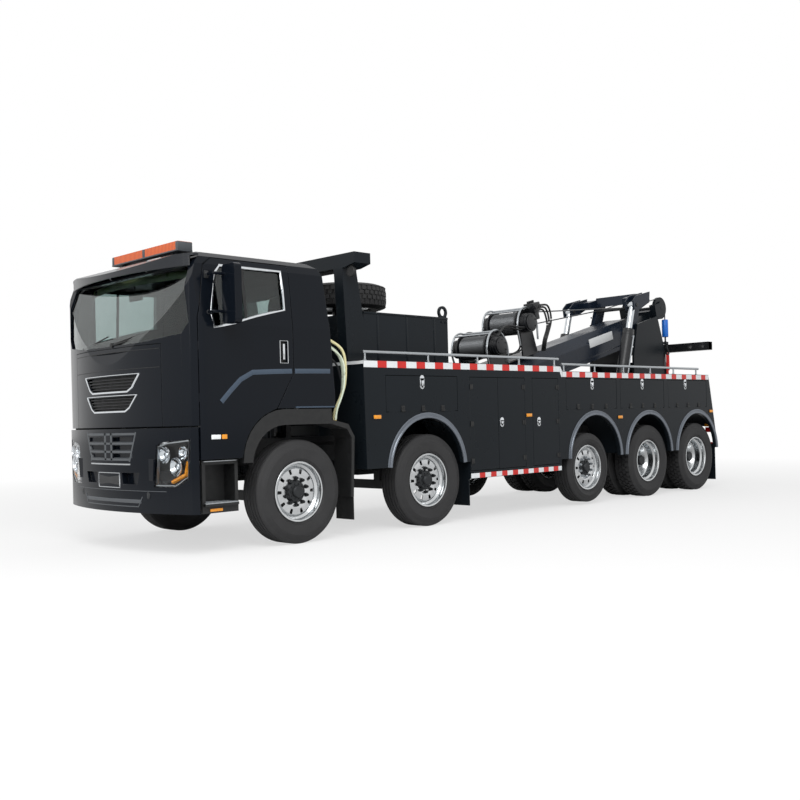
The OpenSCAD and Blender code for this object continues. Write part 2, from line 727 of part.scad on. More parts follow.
module body_shell() {
    inner_r = arch_out_r - arch_lip_w;
    color("#1c2126") place() {
        left_and_right() {
            difference() {
                side_plate(locker_in_y, body_half_w) body_outline();
                intersection() {
                    side_plate(locker_in_y - 1, body_half_w - 50) arch_cut(arch_out_r + 35);
                    box(-9000, 0, 0, 1300, 0, lockers[6][DOOR_LOW] - door_gap - 15);
                }
                side_plate(locker_in_y, body_half_w + 1) arch_cut(inner_r);
                for (k = [0:6]) side_plate(locker_in_y + body_wall, body_half_w + 1) locker_outline(k, door_gap);
            }
            // Mudflaps behind axles 2 and 5
            box(-2512, -2499.9, 935, 1212, 180, 700);
            box(body_rear_low_x + 20, body_rear_low_x + 32, 935, 1212, 130, 700);
            // Side ledges of the deck along the boom
            box(-6280, -3500, 440, locker_in_y + 1, 1600, 1620);
            box(-8100, -6880, 440, locker_in_y + 1, 1600, 1620);
            // Outriggers from the subframe
            for (x = [-3480, -4500, -6150, -7200, -8000])
                box(x - 30, x + 30, rail_out_y + seat_gap, locker_in_y + 1, 1190, 1340);
        }
        // Front deck
        box(-3500, -900, -locker_in_y - 1, locker_in_y + 1, 1600, 1620);
        for (x = [-1100, -2300, -3300]) box(x - 30, x + 30, -locker_in_y - 1, locker_in_y + 1, 1560, 1601);
    }
}

// Flap or door k, lying in its opening
module locker_door(k, side) {
    d = lockers[k];
    hinge_r = door_gap / 2 - seat_gap;
    hinge_y = body_half_w - hinge_r;
    inset = 40;
    skin_y = body_half_w - 1;
    color("#1c2126") place() on_side(side) {
        side_plate(body_half_w - body_wall - 5, skin_y) locker_outline(k, 0);
        // Hinge barrel in the gap, and its leaf
        if (d[DOOR_HINGE] == DOOR_LOW) {
            z = d[DOOR_LOW] - door_gap / 2;
            pin_x(hinge_y, z, hinge_r, d[DOOR_BACK] + inset, d[DOOR_FRONT] - inset);
            box(d[DOOR_BACK] + inset, d[DOOR_FRONT] - inset, hinge_y - hinge_r, skin_y, z, d[DOOR_LOW] + 1);
        } else {
            s = d[DOOR_HINGE] == DOOR_FRONT ? 1 : -1;
            x = d[d[DOOR_HINGE]] + s * door_gap / 2;
            h = d[DOOR_TOP] - d[DOOR_LOW] - 2 * inset;
            translate([x, hinge_y, d[DOOR_LOW] + inset]) cylinder(r = hinge_r, h = h);
            translate([x - (s > 0 ? door_gap / 2 + 1 : 0), hinge_y - hinge_r, d[DOOR_LOW] + inset])
                cube([door_gap / 2 + 1, skin_y - hinge_y + hinge_r, h]);
        }
    }
}

module handrails() {
    rail_y = body_half_w - 35;
    rail_r = 17;
    front_end = -4283;
    color("#c9ced2") place() left_and_right() {
        pin_x(rail_y, body_top_z + rail_h, rail_r, front_end, -868);
        for (x = [-900, -1860, -2700, -3480, -4200]) translate([x, rail_y, body_top_z + seat_gap])
            cylinder(r = 12, h = rail_h);
        pin_x(rail_y, rear_top_z + rail_h, rail_r, -7880, front_end - 60);
        for (x = [-4400, -5100, -5800, -6500, -7150, -7820]) translate([x, rail_y, rear_top_z + seat_gap])
            cylinder(r = 12, h = rail_h);
    }
}

spare_x = -1670;
spare_z = 2676;

module gantry() {
    box_front = -1150;
    box_back = -2430;
    foot_z = body_top_z + seat_gap;
    color("#1c2126") place() {
        // Cross beam with its tapered ends
        cross_plate(-1030, -800) polygon([[-1200, 3000], [-1200, 2885], [-1040, 2850], [1040, 2850], [1200, 2885], [1200, 3000]]);
        left_and_right() {
            side_plate(860, 1000) polygon([[-800, 2851], [-1000, 2851], [-1168, foot_z], [-850, foot_z]]);
            // Lifting ring
            difference() {
                side_plate(974, 999) translate([box_back + 75, 2462]) {
                    circle(74);
                    translate([-60, -90]) square([120, 60]);
                }
                side_plate(970, 1005) translate([box_back + 75, 2462]) circle(44);
            }
        }
        box(box_back, box_front + 60, -1000, 1000, foot_z, 2400);
        // Carrier of the spare wheel
        translate([spare_x, 0, 2399]) cylinder(r = 130, h = spare_z + 40 - 2399 - seat_gap);
    }
}

module spare_wheel() {
    color("#2a2b2c") place() translate([spare_x, 0, spare_z]) rotate([90, 0, 0]) {
        tyre(tyre_r, tyre_w);
        difference() {
            union() {
                rim_barrel();
                pin_y(0, 0, rim_r - 30, 52, 68);
                pin_y(0, 0, 130, 40, 52.1);
            }
            for (a = [0:9]) rotate([0, a * 36, 0]) pin_y(195, 0, 24, 39, 70);
        }
    }
}

// ---- Recovery gear ----

// Subframe with the boom's foot lugs, the cylinders' lugs, the mast and the underlift's guide
module recovery_frame() {
    lug_in = boom_w / 2 + pass_gap;
    guide_x = column_x + 120 + seat_gap;
    guide_y = 110 + seat_gap;
    color("#15181c") place() {
        left_and_right() {
            box(rail_end_x, -900, rail_in_y, rail_out_y, frame_top_z + seat_gap, subframe_top_z);
            // Foot lug of the boom
            side_plate(lug_in, lug_in + 62) {
                translate([boom_pin_x, boom_pin_z]) circle(135);
                polygon([[boom_pin_x - 330, subframe_top_z - 60], [boom_pin_x + 330, subframe_top_z - 60],
                         [boom_pin_x + 130, boom_pin_z + 30], [boom_pin_x - 130, boom_pin_z + 30]]);
            }
            // Lugs of the lift cylinder on their bracket
            box(lift_pin_x - 110, lift_pin_x + 110, rail_out_y - 1, lift_y + 62, frame_top_z + 12, frame_top_z + 62);
            for (y = [lift_y - 62, lift_y + 38]) side_plate(y, y + 24) {
                translate([lift_pin_x, lift_pin_z]) circle(70);
                translate([lift_pin_x - 70, frame_top_z + 12]) square([140, lift_pin_z - frame_top_z - 12]);
            }
            // Mast plate
            side_plate(385, 420) polygon([[-7330, frame_top_z + 150], [-7330, 2100], [-7450, 2620], [-8050, 2780],
                                          [-8250, 2250], [column_x + 121 + 80, 1900], [column_x + 121 + 80, frame_top_z + 150]]);
            box(guide_x, column_x + 203, 0, 420, 800, 1950);
            // Guide of the underlift's column
            box(column_x - 90, guide_x + 1, guide_y, 136, 800, 1950);
            box(column_x - 142, column_x - 89, guide_y, 136, 1000, 1950);
            box(column_x - 142, column_x - 120 - seat_gap, 70, 136, 1000, 1950);
        }
        pin_y(boom_pin_x, boom_pin_z, boom_pin_r, -lug_in - 70, lug_in + 70);
        left_and_right() pin_y(lift_pin_x, lift_pin_z, lift_pin_r, lift_y - 66, lift_y + 66);
        // Cross members of the subframe, and the boom's rest between the mast plates
        for (x = [-1000, -2400, -4400, -7400, -8150]) box(x - 50, x + 50, -rail_in_y - 1, rail_in_y + 1, frame_top_z + seat_gap, frame_top_z + 120);
        box(-7550, -7470, -386, 386, 1900, 2020);
    }
}

// Boom axes: X forward along the boom from its foot pin, Z square to it
module boom_place() {
    translate([boom_pin_x, 0, boom_pin_z]) rotate([0, boom_slope, 0]) children();
}

module boom_section(t) {
    h = boom_w / 2 - t;
    d = boom_d / 2 - t;
    polygon([[-h, -d], [h, -d], [h, d * 0.3], [h - 110, d], [-h + 110, d], [-h, d * 0.3]]);
}

module boom_outer() {
    foot = 260;
    column_w = 65;
    color("#1a222b") place() boom_place() {
        difference() {
            union() {
                cross_plate(-boom_len, -foot) boom_section(0);
                side_plate(-boom_w / 2, boom_w / 2) {
                    circle(150);
                    polygon([[-foot - 1, -boom_d / 2], [-foot - 1, boom_d / 2], [0, 150], [0, -150]]);
                }
            }
            cross_plate(-boom_len - 1, -foot - 20) boom_section(boom_plate);
            pin_y(0, 0, boom_pin_r + pin_play, -boom_w, boom_w);
        }
        left_and_right() {
            // Portal column
            side_plate(boom_w / 2 - 1, boom_w / 2 + column_w)
                polygon([[-3400, -boom_d / 2], [-3494, 91], [-3842, 579], [-3960, 560], [-3990, 430], [-3760, 100], [-3720, -boom_d / 2]]);
            // Ears over the lift cylinder
            for (y = [lift_y - 80, lift_y + 56]) side_plate(y, y + 24) difference() {
                polygon([[-3290, 400], [-3300, 540], [-3420, 600], [-3800, 590], [-3740, 430], [-3460, 380]]);
                translate([-3374, 463]) circle(20);
            }
            box(-3760, -3560, boom_w / 2, lift_y + 80, 440, 560);
        }
        // Wear pads in its mouth
        box(-boom_len + 20, -boom_len + 180, -180, 180, -boom_d / 2 + boom_plate - 1, -boom_d / 2 + 50 - seat_gap);
        left_and_right() box(-boom_len + 20, -boom_len + 180, boom_w / 2 - 50 + seat_gap, boom_w / 2 - boom_plate + 1, -120, 20);
        // Top beam of the portal, over the cables
        side_plate(-boom_w / 2, boom_w / 2) polygon([[-3730, 440], [-3842, 579], [-3960, 560], [-3985, 440]]);
    }
}

module boom_inner() {
    sheave_y = 290;
    color("#12161b") place() boom_place() {
        difference() {
            cross_plate(-tip_reach + 250, -700) boom_section(50);
            cross_plate(-tip_reach + 270, -690) boom_section(64);
        }
        // Wear pads at its foot
        box(-900, -740, -180, 180, -boom_d / 2 + boom_plate + seat_gap, -boom_d / 2 + 51);
        left_and_right() box(-900, -740, boom_w / 2 - 51, boom_w / 2 - boom_plate - seat_gap, -120, 20);
        // Head block with its sheaves
        box(-tip_reach + 60, -tip_reach + 260, -240, 240, -110, 200);
        pin_y(-tip_reach, 200, 35, -345, 345);
        left_and_right() {
            for (y = [235, 325]) side_plate(y, y + 18) {
                translate([-tip_reach, 200]) circle(110);
                translate([-tip_reach, 90]) square([200, 200]);
            }
            box(-tip_reach + 120, -tip_reach + 200, 235, 343, 100, 280);
            difference() {
                pin_y(-tip_reach, 200, 180, sheave_y - 24, sheave_y + 24);
                translate([-tip_reach, 0, 200]) rotate([90, 0, 0]) translate([0, 0, -sheave_y])
                    rotate_extrude($fn = 72) translate([180, 0]) circle(14);
            }
        }
        // Cable end, sleeve and eye that hang from each sheave
        left_and_right() translate([-tip_reach, sheave_y, 200]) rotate([0, -boom_slope, 0]) {
            translate([-172, 0, -200]) cylinder(r = 9, h = 200);
            translate([-172, 0, -470]) cylinder(r = 50, h = 285);
        }
    }
}

module winches() {
    // Each winch: distance behind the foot pin, height over the boom's middle
    winch_places = [[359, 509], [1086, 683]];
    base_z = boom_d / 2 + seat_gap;
    color("#17191c") place() boom_place() {
        box(-1290, -270, -185, 185, base_z, base_z + 20);
        for (w = winch_places) {
            pin_y(-w[0], w[1], 115, -250, 250);
            for (s = [-1, 1]) {
                pin_y(-w[0], w[1], 190, s > 0 ? 240 : -262, s > 0 ? 262 : -240);
                pin_y(-w[0], w[1], 130, s > 0 ? 262 : -400, s > 0 ? 400 : -262);
                side_plate(s > 0 ? 262 : -287, s > 0 ? 287 : -262)
                    polygon([[-w[0] - 170, base_z + 19], [-w[0] + 170, base_z + 19], [-w[0] + 120, w[1]], [-w[0] - 120, w[1]]]);
            }
        }
        box(-1290, -200, -290, 290, base_z + 10, base_z + 30);
    }
}

// Cylinder axes: Z up along the cylinder from its lower pin
module lift_place() {
    translate([lift_pin_x, 0, lift_pin_z]) rotate([0, -lift_lean, 0]) children();
}

lift_barrel_len = 1360;
lift_rod_r = 48;

module lift_barrels() {
    start = 90;
    bore_start = 104;
    color("#15181c") place() left_and_right() lift_place() difference() {
        union() {
            translate([0, lift_y, start]) cylinder(r = lift_r, h = lift_barrel_len - start);
            pin_y(0, 0, 62, lift_y - 30, lift_y + 30);
            box(-50, 50, lift_y - 30, lift_y + 30, 30, start + 1);
        }
        pin_y(0, 0, lift_pin_r + pin_play, lift_y - 40, lift_y + 40);
        translate([0, lift_y, bore_start]) cylinder(r = lift_r - 14, h = lift_barrel_len - bore_start - 60);
        translate([0, lift_y, bore_start]) cylinder(r = lift_rod_r + pin_play, h = lift_barrel_len);
    }
}

module lift_rods() {
    rod_start = 112;
    color("#d5d9dc") place() left_and_right() lift_place() {
        translate([0, lift_y, rod_start]) cylinder(r = lift_rod_r, h = lift_len - rod_start);
        pin_y(0, lift_len, 60, lift_y - 50, lift_y + 50);
    }
}

module underlift_column() {
    color("#15181c") place() difference() {
        union() {
            box(column_x - 120, column_x + 120, -110, 110, 700, 2080);
            box(column_x - 150, column_x - 119, -152, 152, 700, 960);
            left_and_right() side_plate(128, 152) {
                translate([arm_x, arm_pin_z]) circle(88);
                translate([arm_x, arm_pin_z - 88]) square([column_x - 140 - arm_x, 176]);
            }
            pin_y(arm_x, arm_pin_z, arm_pin_r, -160, 160);
        }
        box(column_x - 100, column_x + 100, -90, 90, 720, 2100);
    }
}

module underlift_arm() {
    h = arm_size / 2;
    plate = 15;
    mouth_z = arm_pin_z + arm_len - 120;
    // Wear pads in its mouth
    color("#101216") place() difference() {
        box(arm_x - h + plate - 1, arm_x + h - plate + 1, -h + plate - 1, h - plate + 1, mouth_z, mouth_z + 110);
        box(arm_x - ext_h - seat_gap, arm_x + ext_h + seat_gap, -ext_h - seat_gap, ext_h + seat_gap, mouth_z - 1, mouth_z + 111);
    }
    color("#101216") place() difference() {
        union() {
            box(arm_x - h, arm_x + h, -h, h, arm_pin_z, arm_pin_z + arm_len);
            pin_y(arm_x, arm_pin_z, h, -h, h);
        }
        box(arm_x - h + plate, arm_x + h - plate, -h + plate, h - plate, arm_pin_z + 125, arm_pin_z + arm_len + 1);
        pin_y(arm_x, arm_pin_z, arm_pin_r + pin_play, -h - 1, h + 1);
    }
}

ext_h = arm_size / 2 - 25;

module underlift_extension() {
    h = ext_h;
    pad_h = arm_size / 2 - 15 - seat_gap;
    top = crossbar_z - crossbar_size / 2 - 70;
    color("#15181c") place() {
        box(arm_x - h, arm_x + h, -h, h, arm_pin_z + 150, top);
        box(arm_x - pad_h, arm_x + pad_h, -pad_h, pad_h, arm_pin_z + 160, arm_pin_z + 270);
        for (x = [arm_x + crossbar_size / 2 + pass_gap, arm_x - crossbar_size / 2 - pass_gap - 21])
            box(x, x + 21, -h, h, top - 30, crossbar_z + 70);
        pin_x(0, crossbar_z, 30, arm_x - h - 5, arm_x + h + 5);
    }
}

module crossbar() {
    c = crossbar_size / 2;
    color("#101216") place() difference() {
        box(arm_x - c, arm_x + c, -crossbar_len / 2, crossbar_len / 2, crossbar_z - c, crossbar_z + c);
        pin_x(0, crossbar_z, 30 + pin_play, arm_x - c - 1, arm_x + c + 1);
        // Receivers for the lifting forks
        for (y = [-crossbar_len / 2 + 110, -crossbar_len / 2 + 330, crossbar_len / 2 - 330, crossbar_len / 2 - 110])
            pin_x(y, crossbar_z, 32, arm_x - c - 1, arm_x + c + 1);
    }
}

chassis_frame();
engine_block();
axles();
knuckle(0, 1);  // knuckle_1_left
knuckle(0, -1);  // knuckle_1_right
knuckle(1, 1);  // knuckle_2_left
knuckle(1, -1);  // knuckle_2_right
for (i = [0:4]) {
    wheel(i, 1);
    wheel(i, -1);
}
cab_shell();
cab_door(1);  // cab_door_left
cab_door(-1);  // cab_door_right
windscreen();
door_glass(1);  // door_glass_left
door_glass(-1);  // door_glass_right
seats();
dashboard();
front_panel();
bumper();
headlamps();
sun_visor();
side_mirror(1);  // mirror_left
side_mirror(-1);  // mirror_right
front_fenders();
body_shell();
locker_door(0, 1);  // front_flap_left
locker_door(0, -1);  // front_flap_right
for (k = [1:3]) {
    locker_door(k, 1);
    locker_door(k, -1);
    locker_door(k + 3, 1);
    locker_door(k + 3, -1);
}
handrails();
gantry();
spare_wheel();
recovery_frame();
boom_outer();
boom_inner();
winches();
lift_barrels();
lift_rods();
underlift_column();
underlift_arm();
underlift_extension();
crossbar();
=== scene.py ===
import math
import bmesh
import bpy
from mathutils import Matrix, Vector


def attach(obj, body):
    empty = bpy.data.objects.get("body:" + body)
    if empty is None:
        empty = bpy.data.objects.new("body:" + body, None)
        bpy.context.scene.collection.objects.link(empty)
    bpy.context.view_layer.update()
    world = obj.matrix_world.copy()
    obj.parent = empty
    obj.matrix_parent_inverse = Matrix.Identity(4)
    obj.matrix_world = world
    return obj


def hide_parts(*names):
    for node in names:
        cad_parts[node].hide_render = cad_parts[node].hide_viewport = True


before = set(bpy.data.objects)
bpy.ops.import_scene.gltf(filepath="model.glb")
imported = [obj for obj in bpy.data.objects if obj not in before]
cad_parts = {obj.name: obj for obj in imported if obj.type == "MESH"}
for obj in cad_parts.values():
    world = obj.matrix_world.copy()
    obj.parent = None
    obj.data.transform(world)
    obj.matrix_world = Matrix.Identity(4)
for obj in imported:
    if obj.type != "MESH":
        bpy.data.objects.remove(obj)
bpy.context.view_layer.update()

# Studio: a pale floor, a broad soft lamp over the truck and a weaker one before the cab. The lens and
# place of the camera are those of a man standing beside the near front wheel.
scene = bpy.context.scene
scene.view_settings.view_transform = "Standard"

camera = bpy.data.objects.new("camera", bpy.data.cameras.new("camera"))
camera.data.sensor_width = 36.0
camera.data.lens = 44.753
camera.data.shift_x = -0.02355
camera.data.shift_y = 0.0203
camera.data.clip_end = 200.0
yaw = math.radians(-135.16188)
pitch = math.radians(0.08684)
roll = math.radians(-1.45382)
ahead = Vector((math.cos(yaw) * math.cos(pitch), math.sin(yaw) * math.cos(pitch), math.sin(pitch)))
level = Vector((math.sin(yaw), -math.cos(yaw), 0.0))
upright = level.cross(ahead)
right = math.cos(roll) * level + math.sin(roll) * upright
top = math.cos(roll) * upright - math.sin(roll) * level
camera.matrix_world = Matrix.Translation((9.90026, 9.04721, 1.22646)) @ Matrix(
    (right, top, -ahead)).transposed().to_4x4()
scene.collection.objects.link(camera)
scene.camera = camera


def add(tree, kind, inputs=None, **settings):
    """One shader node, with its settings and the values or links of its inputs."""
    node = tree.nodes.new(kind)
    for key, value in settings.items():
        setattr(node, key, value)
    for key, value in (inputs or {}).items():
        if isinstance(value, bpy.types.NodeSocket):
            tree.links.new(value, node.inputs[key])
        else:
            node.inputs[key].default_value = value
    return node


def backdrop_finish(name, colour):
    """Pale paint that shows as plain white behind the truck, and takes its shadow only softly."""
    material = bpy.data.materials.new(name)
    material.use_nodes = True
    tree = material.node_tree
    tree.nodes.clear()
    path = add(tree, "ShaderNodeLightPath")
    seen = add(tree, "ShaderNodeMath", {0: path.outputs["Is Camera Ray"], 1: path.outputs["Is Transmission Ray"]},
               operation="MAXIMUM")
    matt = add(tree, "ShaderNodeBsdfDiffuse", {"Color": colour})
    lit = add(tree, "ShaderNodeEmission", {"Color": (1.0, 1.0, 1.0, 1.0), "Strength": 1.0})
    where = add(tree, "ShaderNodeTexCoord")
    far = add(tree, "ShaderNodeVectorMath", {0: where.outputs["Object"]}, operation="LENGTH")
    fade = add(tree, "ShaderNodeMapRange", {"Value": far.outputs["Value"], "From Min": 6.0, "From Max": 14.0,
                                            "To Min": 0.62, "To Max": 1.0})
    share = add(tree, "ShaderNodeMath", {0: seen.outputs[0], 1: fade.outputs[0]}, operation="MULTIPLY")
    mix = add(tree, "ShaderNodeMixShader", {0: share.outputs[0], 1: matt.outputs[0], 2: lit.outputs[0]})
    add(tree, "ShaderNodeOutputMaterial", {"Surface": mix.outputs[0]})
    return material


def place_in_scene(name, bm, material):
    """The mesh as an object at the origin, smooth except at its hard edges."""
    for face in bm.faces:
        face.smooth = True
    mesh = bpy.data.meshes.new(name)
    bm.to_mesh(mesh)
    bm.free()
    mesh.materials.append(material)
    mesh.set_sharp_from_angle(angle=math.radians(35))
    thing = bpy.data.objects.new(name, mesh)
    bpy.context.scene.collection.objects.link(thing)
    return thing


floor_bm = bmesh.new()
bmesh.ops.create_circle(floor_bm, cap_ends=True, segments=64, radius=90.0)
floor = place_in_scene("floor", floor_bm, backdrop_finish("pale_floor", (0.80, 0.80, 0.80, 1.0)))

world = bpy.data.worlds.new("studio")
world.use_nodes = True
scene.world = world
sky = world.node_tree
sky.nodes.clear()
sky_path = add(sky, "ShaderNodeLightPath")
sky_seen = add(sky, "ShaderNodeMath", {0: sky_path.outputs["Is Camera Ray"], 1: sky_path.outputs["Is Glossy Ray"]},
               operation="MAXIMUM")
sky_through = add(sky, "ShaderNodeMath", {0: sky_seen.outputs[0], 1: sky_path.outputs["Is Transmission Ray"]},
                  operation="MAXIMUM")
sky_strength = add(sky, "ShaderNodeMapRange", {"Value": sky_through.outputs[0], "To Min": 0.72, "To Max": 1.0})
sky_colour = add(sky, "ShaderNodeBackground", {"Color": (1.0, 1.0, 1.0, 1.0),
                                              "Strength": sky_strength.outputs[0]})
add(sky, "ShaderNodeOutputWorld", {"Surface": sky_colour.outputs[0]})

for name, spot, aim, size, power in (("lamp_key", (9.0, 9.0, 10.0), (0.0, 0.0, 1.0), 8.0, 1100.0),
                                     ("lamp_front", (14.0, 1.0, 5.0), (4.0, 0.0, 1.5), 5.0, 350.0)):
    lamp = bpy.data.objects.new(name, bpy.data.lights.new(name, "AREA"))
    lamp.data.size = size
    lamp.data.energy = power
    lamp.location = spot
    lamp.rotation_euler = (Vector(aim) - Vector(spot)).to_track_quat("-Z", "Y").to_euler()
    scene.collection.objects.link(lamp)


# Air and lamp lines between the cab and the body: three rubber and one coiled plastic line, each held in a
# union on the cab's back wall and in one on the mudguard, with slack so that the cab can tilt.
AXLE_1 = 3.715


def at(x, y, z):
    """A place on the drawing, in millimetres from the first axle, as metres in the frame."""
    return Vector((AXLE_1 + x / 1000, y / 1000, z / 1000))


def linear(hex_colour):
    """A colour written as sRGB hex, as the linear values that a shader takes."""
    values = [int(hex_colour[i:i + 2], 16) / 255 for i in (1, 3, 5)]
    return tuple(v / 12.92 if v <= 0.04045 else ((v + 0.055) / 1.055) ** 2.4 for v in values) + (1.0,)


def surface(name, dark, light, rough, patch_mm=400.0, grain_mm=3.0, grain=0.05, metallic=0.0, edge_mm=0.0,
            specular=0.5, coat=0.0):
    """A finish that drifts between two near shades over patches, with a fine grain in its gloss and its surface."""
    material = bpy.data.materials.new(name)
    material.use_nodes = True
    tree = material.node_tree
    tree.nodes.clear()
    where = add(tree, "ShaderNodeTexCoord")
    patches = add(tree, "ShaderNodeTexNoise", {"Vector": where.outputs["Object"], "Scale": 1000.0 / patch_mm,
                                               "Detail": 4.0, "Roughness": 0.6})
    shade = add(tree, "ShaderNodeMix", {0: patches.outputs[0], 6: linear(dark), 7: linear(light)},
                data_type="RGBA")
    fine = add(tree, "ShaderNodeTexNoise", {"Vector": where.outputs["Object"], "Scale": 1000.0 / grain_mm,
                                            "Detail": 3.0})
    gloss = add(tree, "ShaderNodeMapRange", {"Value": patches.outputs[0], "From Min": 0.3, "From Max": 0.7,
                                             "To Min": rough * 0.85, "To Max": min(1.0, rough * 1.2)})
    bump = add(tree, "ShaderNodeBump", {"Height": fine.outputs[0], "Strength": grain, "Distance": 0.001})
    if edge_mm:
        edge = add(tree, "ShaderNodeBevel", {"Radius": edge_mm / 1000}, samples=4)
        tree.links.new(edge.outputs[0], bump.inputs["Normal"])
    shader = add(tree, "ShaderNodeBsdfPrincipled", {
        "Base Color": shade.outputs[2], "Roughness": gloss.outputs[0], "Metallic": metallic,
        "Normal": bump.outputs[0], "Specular IOR Level": specular, "Coat Weight": coat})
    add(tree, "ShaderNodeOutputMaterial", {"Surface": shader.outputs[0]})
    return material


def fit(name, bm, finish, body):
    """A finished piece: doubles merged, faces turned outwards, riding on its body."""
    bmesh.ops.remove_doubles(bm, verts=bm.verts, dist=0.00001)
    bmesh.ops.recalc_face_normals(bm, faces=bm.faces)
    thing = place_in_scene(name, bm, finish)
    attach(thing, body)
    return thing


def add_tube(bm, path, radius, segments=12):
    """A round tube along the points of a path, closed at both ends."""
    loops = []
    for i, point in enumerate(path):
        ahead_point = path[min(i + 1, len(path) - 1)]
        behind_point = path[max(i - 1, 0)]
        turn = (ahead_point - behind_point).to_track_quat("Z", "Y").to_matrix().to_4x4()
        ring = bmesh.ops.create_circle(bm, cap_ends=i in (0, len(path) - 1), segments=segments, radius=radius,
                                       matrix=Matrix.Translation(point) @ turn)["verts"]
        loops.append(ring)
    for one, other in zip(loops, loops[1:]):
        for k in range(segments):
            bm.faces.new((one[k], one[(k + 1) % segments], other[(k + 1) % segments], other[k]))


def smooth_path(corners, steps=10):
    """Points of a curve that passes through its corners, as a hose bends through its clips."""
    path = []
    ends = [2 * corners[0] - corners[1]] + corners + [2 * corners[-1] - corners[-2]]
    for a, b, c, d in zip(ends, ends[1:], ends[2:], ends[3:]):
        for k in range(steps):
            t = k / steps
            path.append(0.5 * (2 * b + (c - a) * t + (2 * a - 5 * b + 4 * c - d) * t * t
                               + (3 * b - a - 3 * c + d) * t ** 3))
    path.append(corners[-1])
    return path


air_line_rubber = surface("air_line_rubber", "#15171a", "#202327", 0.5, patch_mm=60.0)
cream_hose = surface("cream_hose_sleeve", "#cfc795", "#e2dcae", 0.5, patch_mm=60.0)
green_hose = surface("green_hose_sleeve", "#b9c9ae", "#e1e7d6", 0.5, patch_mm=50.0)

hose_routes = [("air_line_1", cream_hose, 30.0, (-422, 1150, 2080), (-620, 1190, 1930), (-640, 1180, 1600),
                (-545, 1130, 1330), (-530, 1120, 1212)),
               ("air_line_2", green_hose, 32.0, (-424, 1085, 2050), (-625, 1130, 1880), (-655, 1130, 1560),
                (-585, 1090, 1310), (-575, 1080, 1204)),
               ("air_line_3", green_hose, 22.0, (-428, 1190, 1990), (-590, 1215, 1840), (-600, 1210, 1560),
                (-530, 1180, 1340), (-510, 1170, 1214)),
               ("air_line_4", air_line_rubber, 20.0, (-430, 1020, 1960), (-640, 1060, 1800),
                (-690, 1070, 1500),
                (-640, 1010, 1310), (-610, 1000, 1198))]
for name, finish, size, *corners in hose_routes:
    corners = [at(*c) for c in corners]
    route = smooth_path(corners, steps=9)
    line_bm = bmesh.new()
    add_tube(line_bm, route, size / 2000, segments=14)
    line = fit(name, line_bm, finish, "truck")


def add_rod(bm, start, end, radius, end_radius=None, segments=24, chamfer=0.0):
    """A round bar or cone between two points, its rims chamfered."""
    along = end - start
    matrix = Matrix.Translation((start + end) / 2) @ along.to_track_quat("Z", "Y").to_matrix().to_4x4()
    made = bmesh.ops.create_cone(bm, cap_ends=True, segments=segments, radius1=radius,
                                 radius2=radius if end_radius is None else end_radius, depth=along.length,
                                 matrix=matrix)
    if chamfer:
        rims = [e for e in {e for v in made["verts"] for e in v.link_edges}
                if any(len(f.verts) > 4 for f in e.link_faces)]
        bmesh.ops.bevel(bm, geom=rims, offset=chamfer / 1000, segments=2, profile=0.5, affect="EDGES",
                        material=-1)


def add_block(bm, low, high, chamfer=0.0, turn=None):
    """A block between two corners, its edges chamfered, and turned by a matrix where one is given."""
    size = high - low
    size = Vector((abs(size.x), abs(size.y), abs(size.z)))
    matrix = Matrix.Translation((low + high) / 2) @ Matrix.Diagonal(size.to_4d())
    if turn is not None:
        matrix = turn @ matrix
    made = bmesh.ops.create_cube(bm, size=1.0, matrix=matrix)
    if chamfer:
        edges = list({e for v in made["verts"] for e in v.link_edges})
        bmesh.ops.bevel(bm, geom=edges, offset=chamfer / 1000, segments=2, profile=0.5, affect="EDGES",
                        material=-1)


union_brass = surface("union_brass", "#8f7a45", "#a99053", 0.35, patch_mm=20.0, metallic=1.0)
unions = bmesh.new()
for name, finish, size, *corners in hose_routes:
    first, last = at(*corners[0]), at(*corners[-1])
    add_rod(unions, Vector((at(-400, 0, 0).x, first.y, first.z)), first, size / 1400, segments=6, chamfer=1.5)
    add_rod(unions, last - Vector((0, 0, 0.03)), last + Vector((0, 0, 0.012)), size / 1400, segments=6,
            chamfer=1.5)
fit("air_line_unions", unions, union_brass, "truck")
black_satin = surface("black_satin_paint", "#0b0c0e", "#121417", 0.45, grain=0.1, edge_mm=4.0)


# Chassis: pressed steel side members with riveted cross members and a fuel tank between the second and third
# axles, all sprayed with a black satin coat that holds a little road dust. The engine and its gearbox are
# cast.
def repaint(node, finish):
    """Gives a CAD node its finish, with its mesh as it is."""
    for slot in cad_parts[node].material_slots:
        slot.material = finish


repaint("chassis_frame", black_satin)
repaint("axles", black_satin)
cast_metal = surface("cast_engine_metal", "#3c3f43", "#5a5e62", 0.55, patch_mm=90.0, grain_mm=2.0, grain=0.4,
                     metallic=0.6, edge_mm=6.0)
repaint("engine_block", cast_metal)
for knuckle in ("knuckle_1_left", "knuckle_1_right", "knuckle_2_left", "knuckle_2_right"):
    repaint(knuckle, cast_metal)

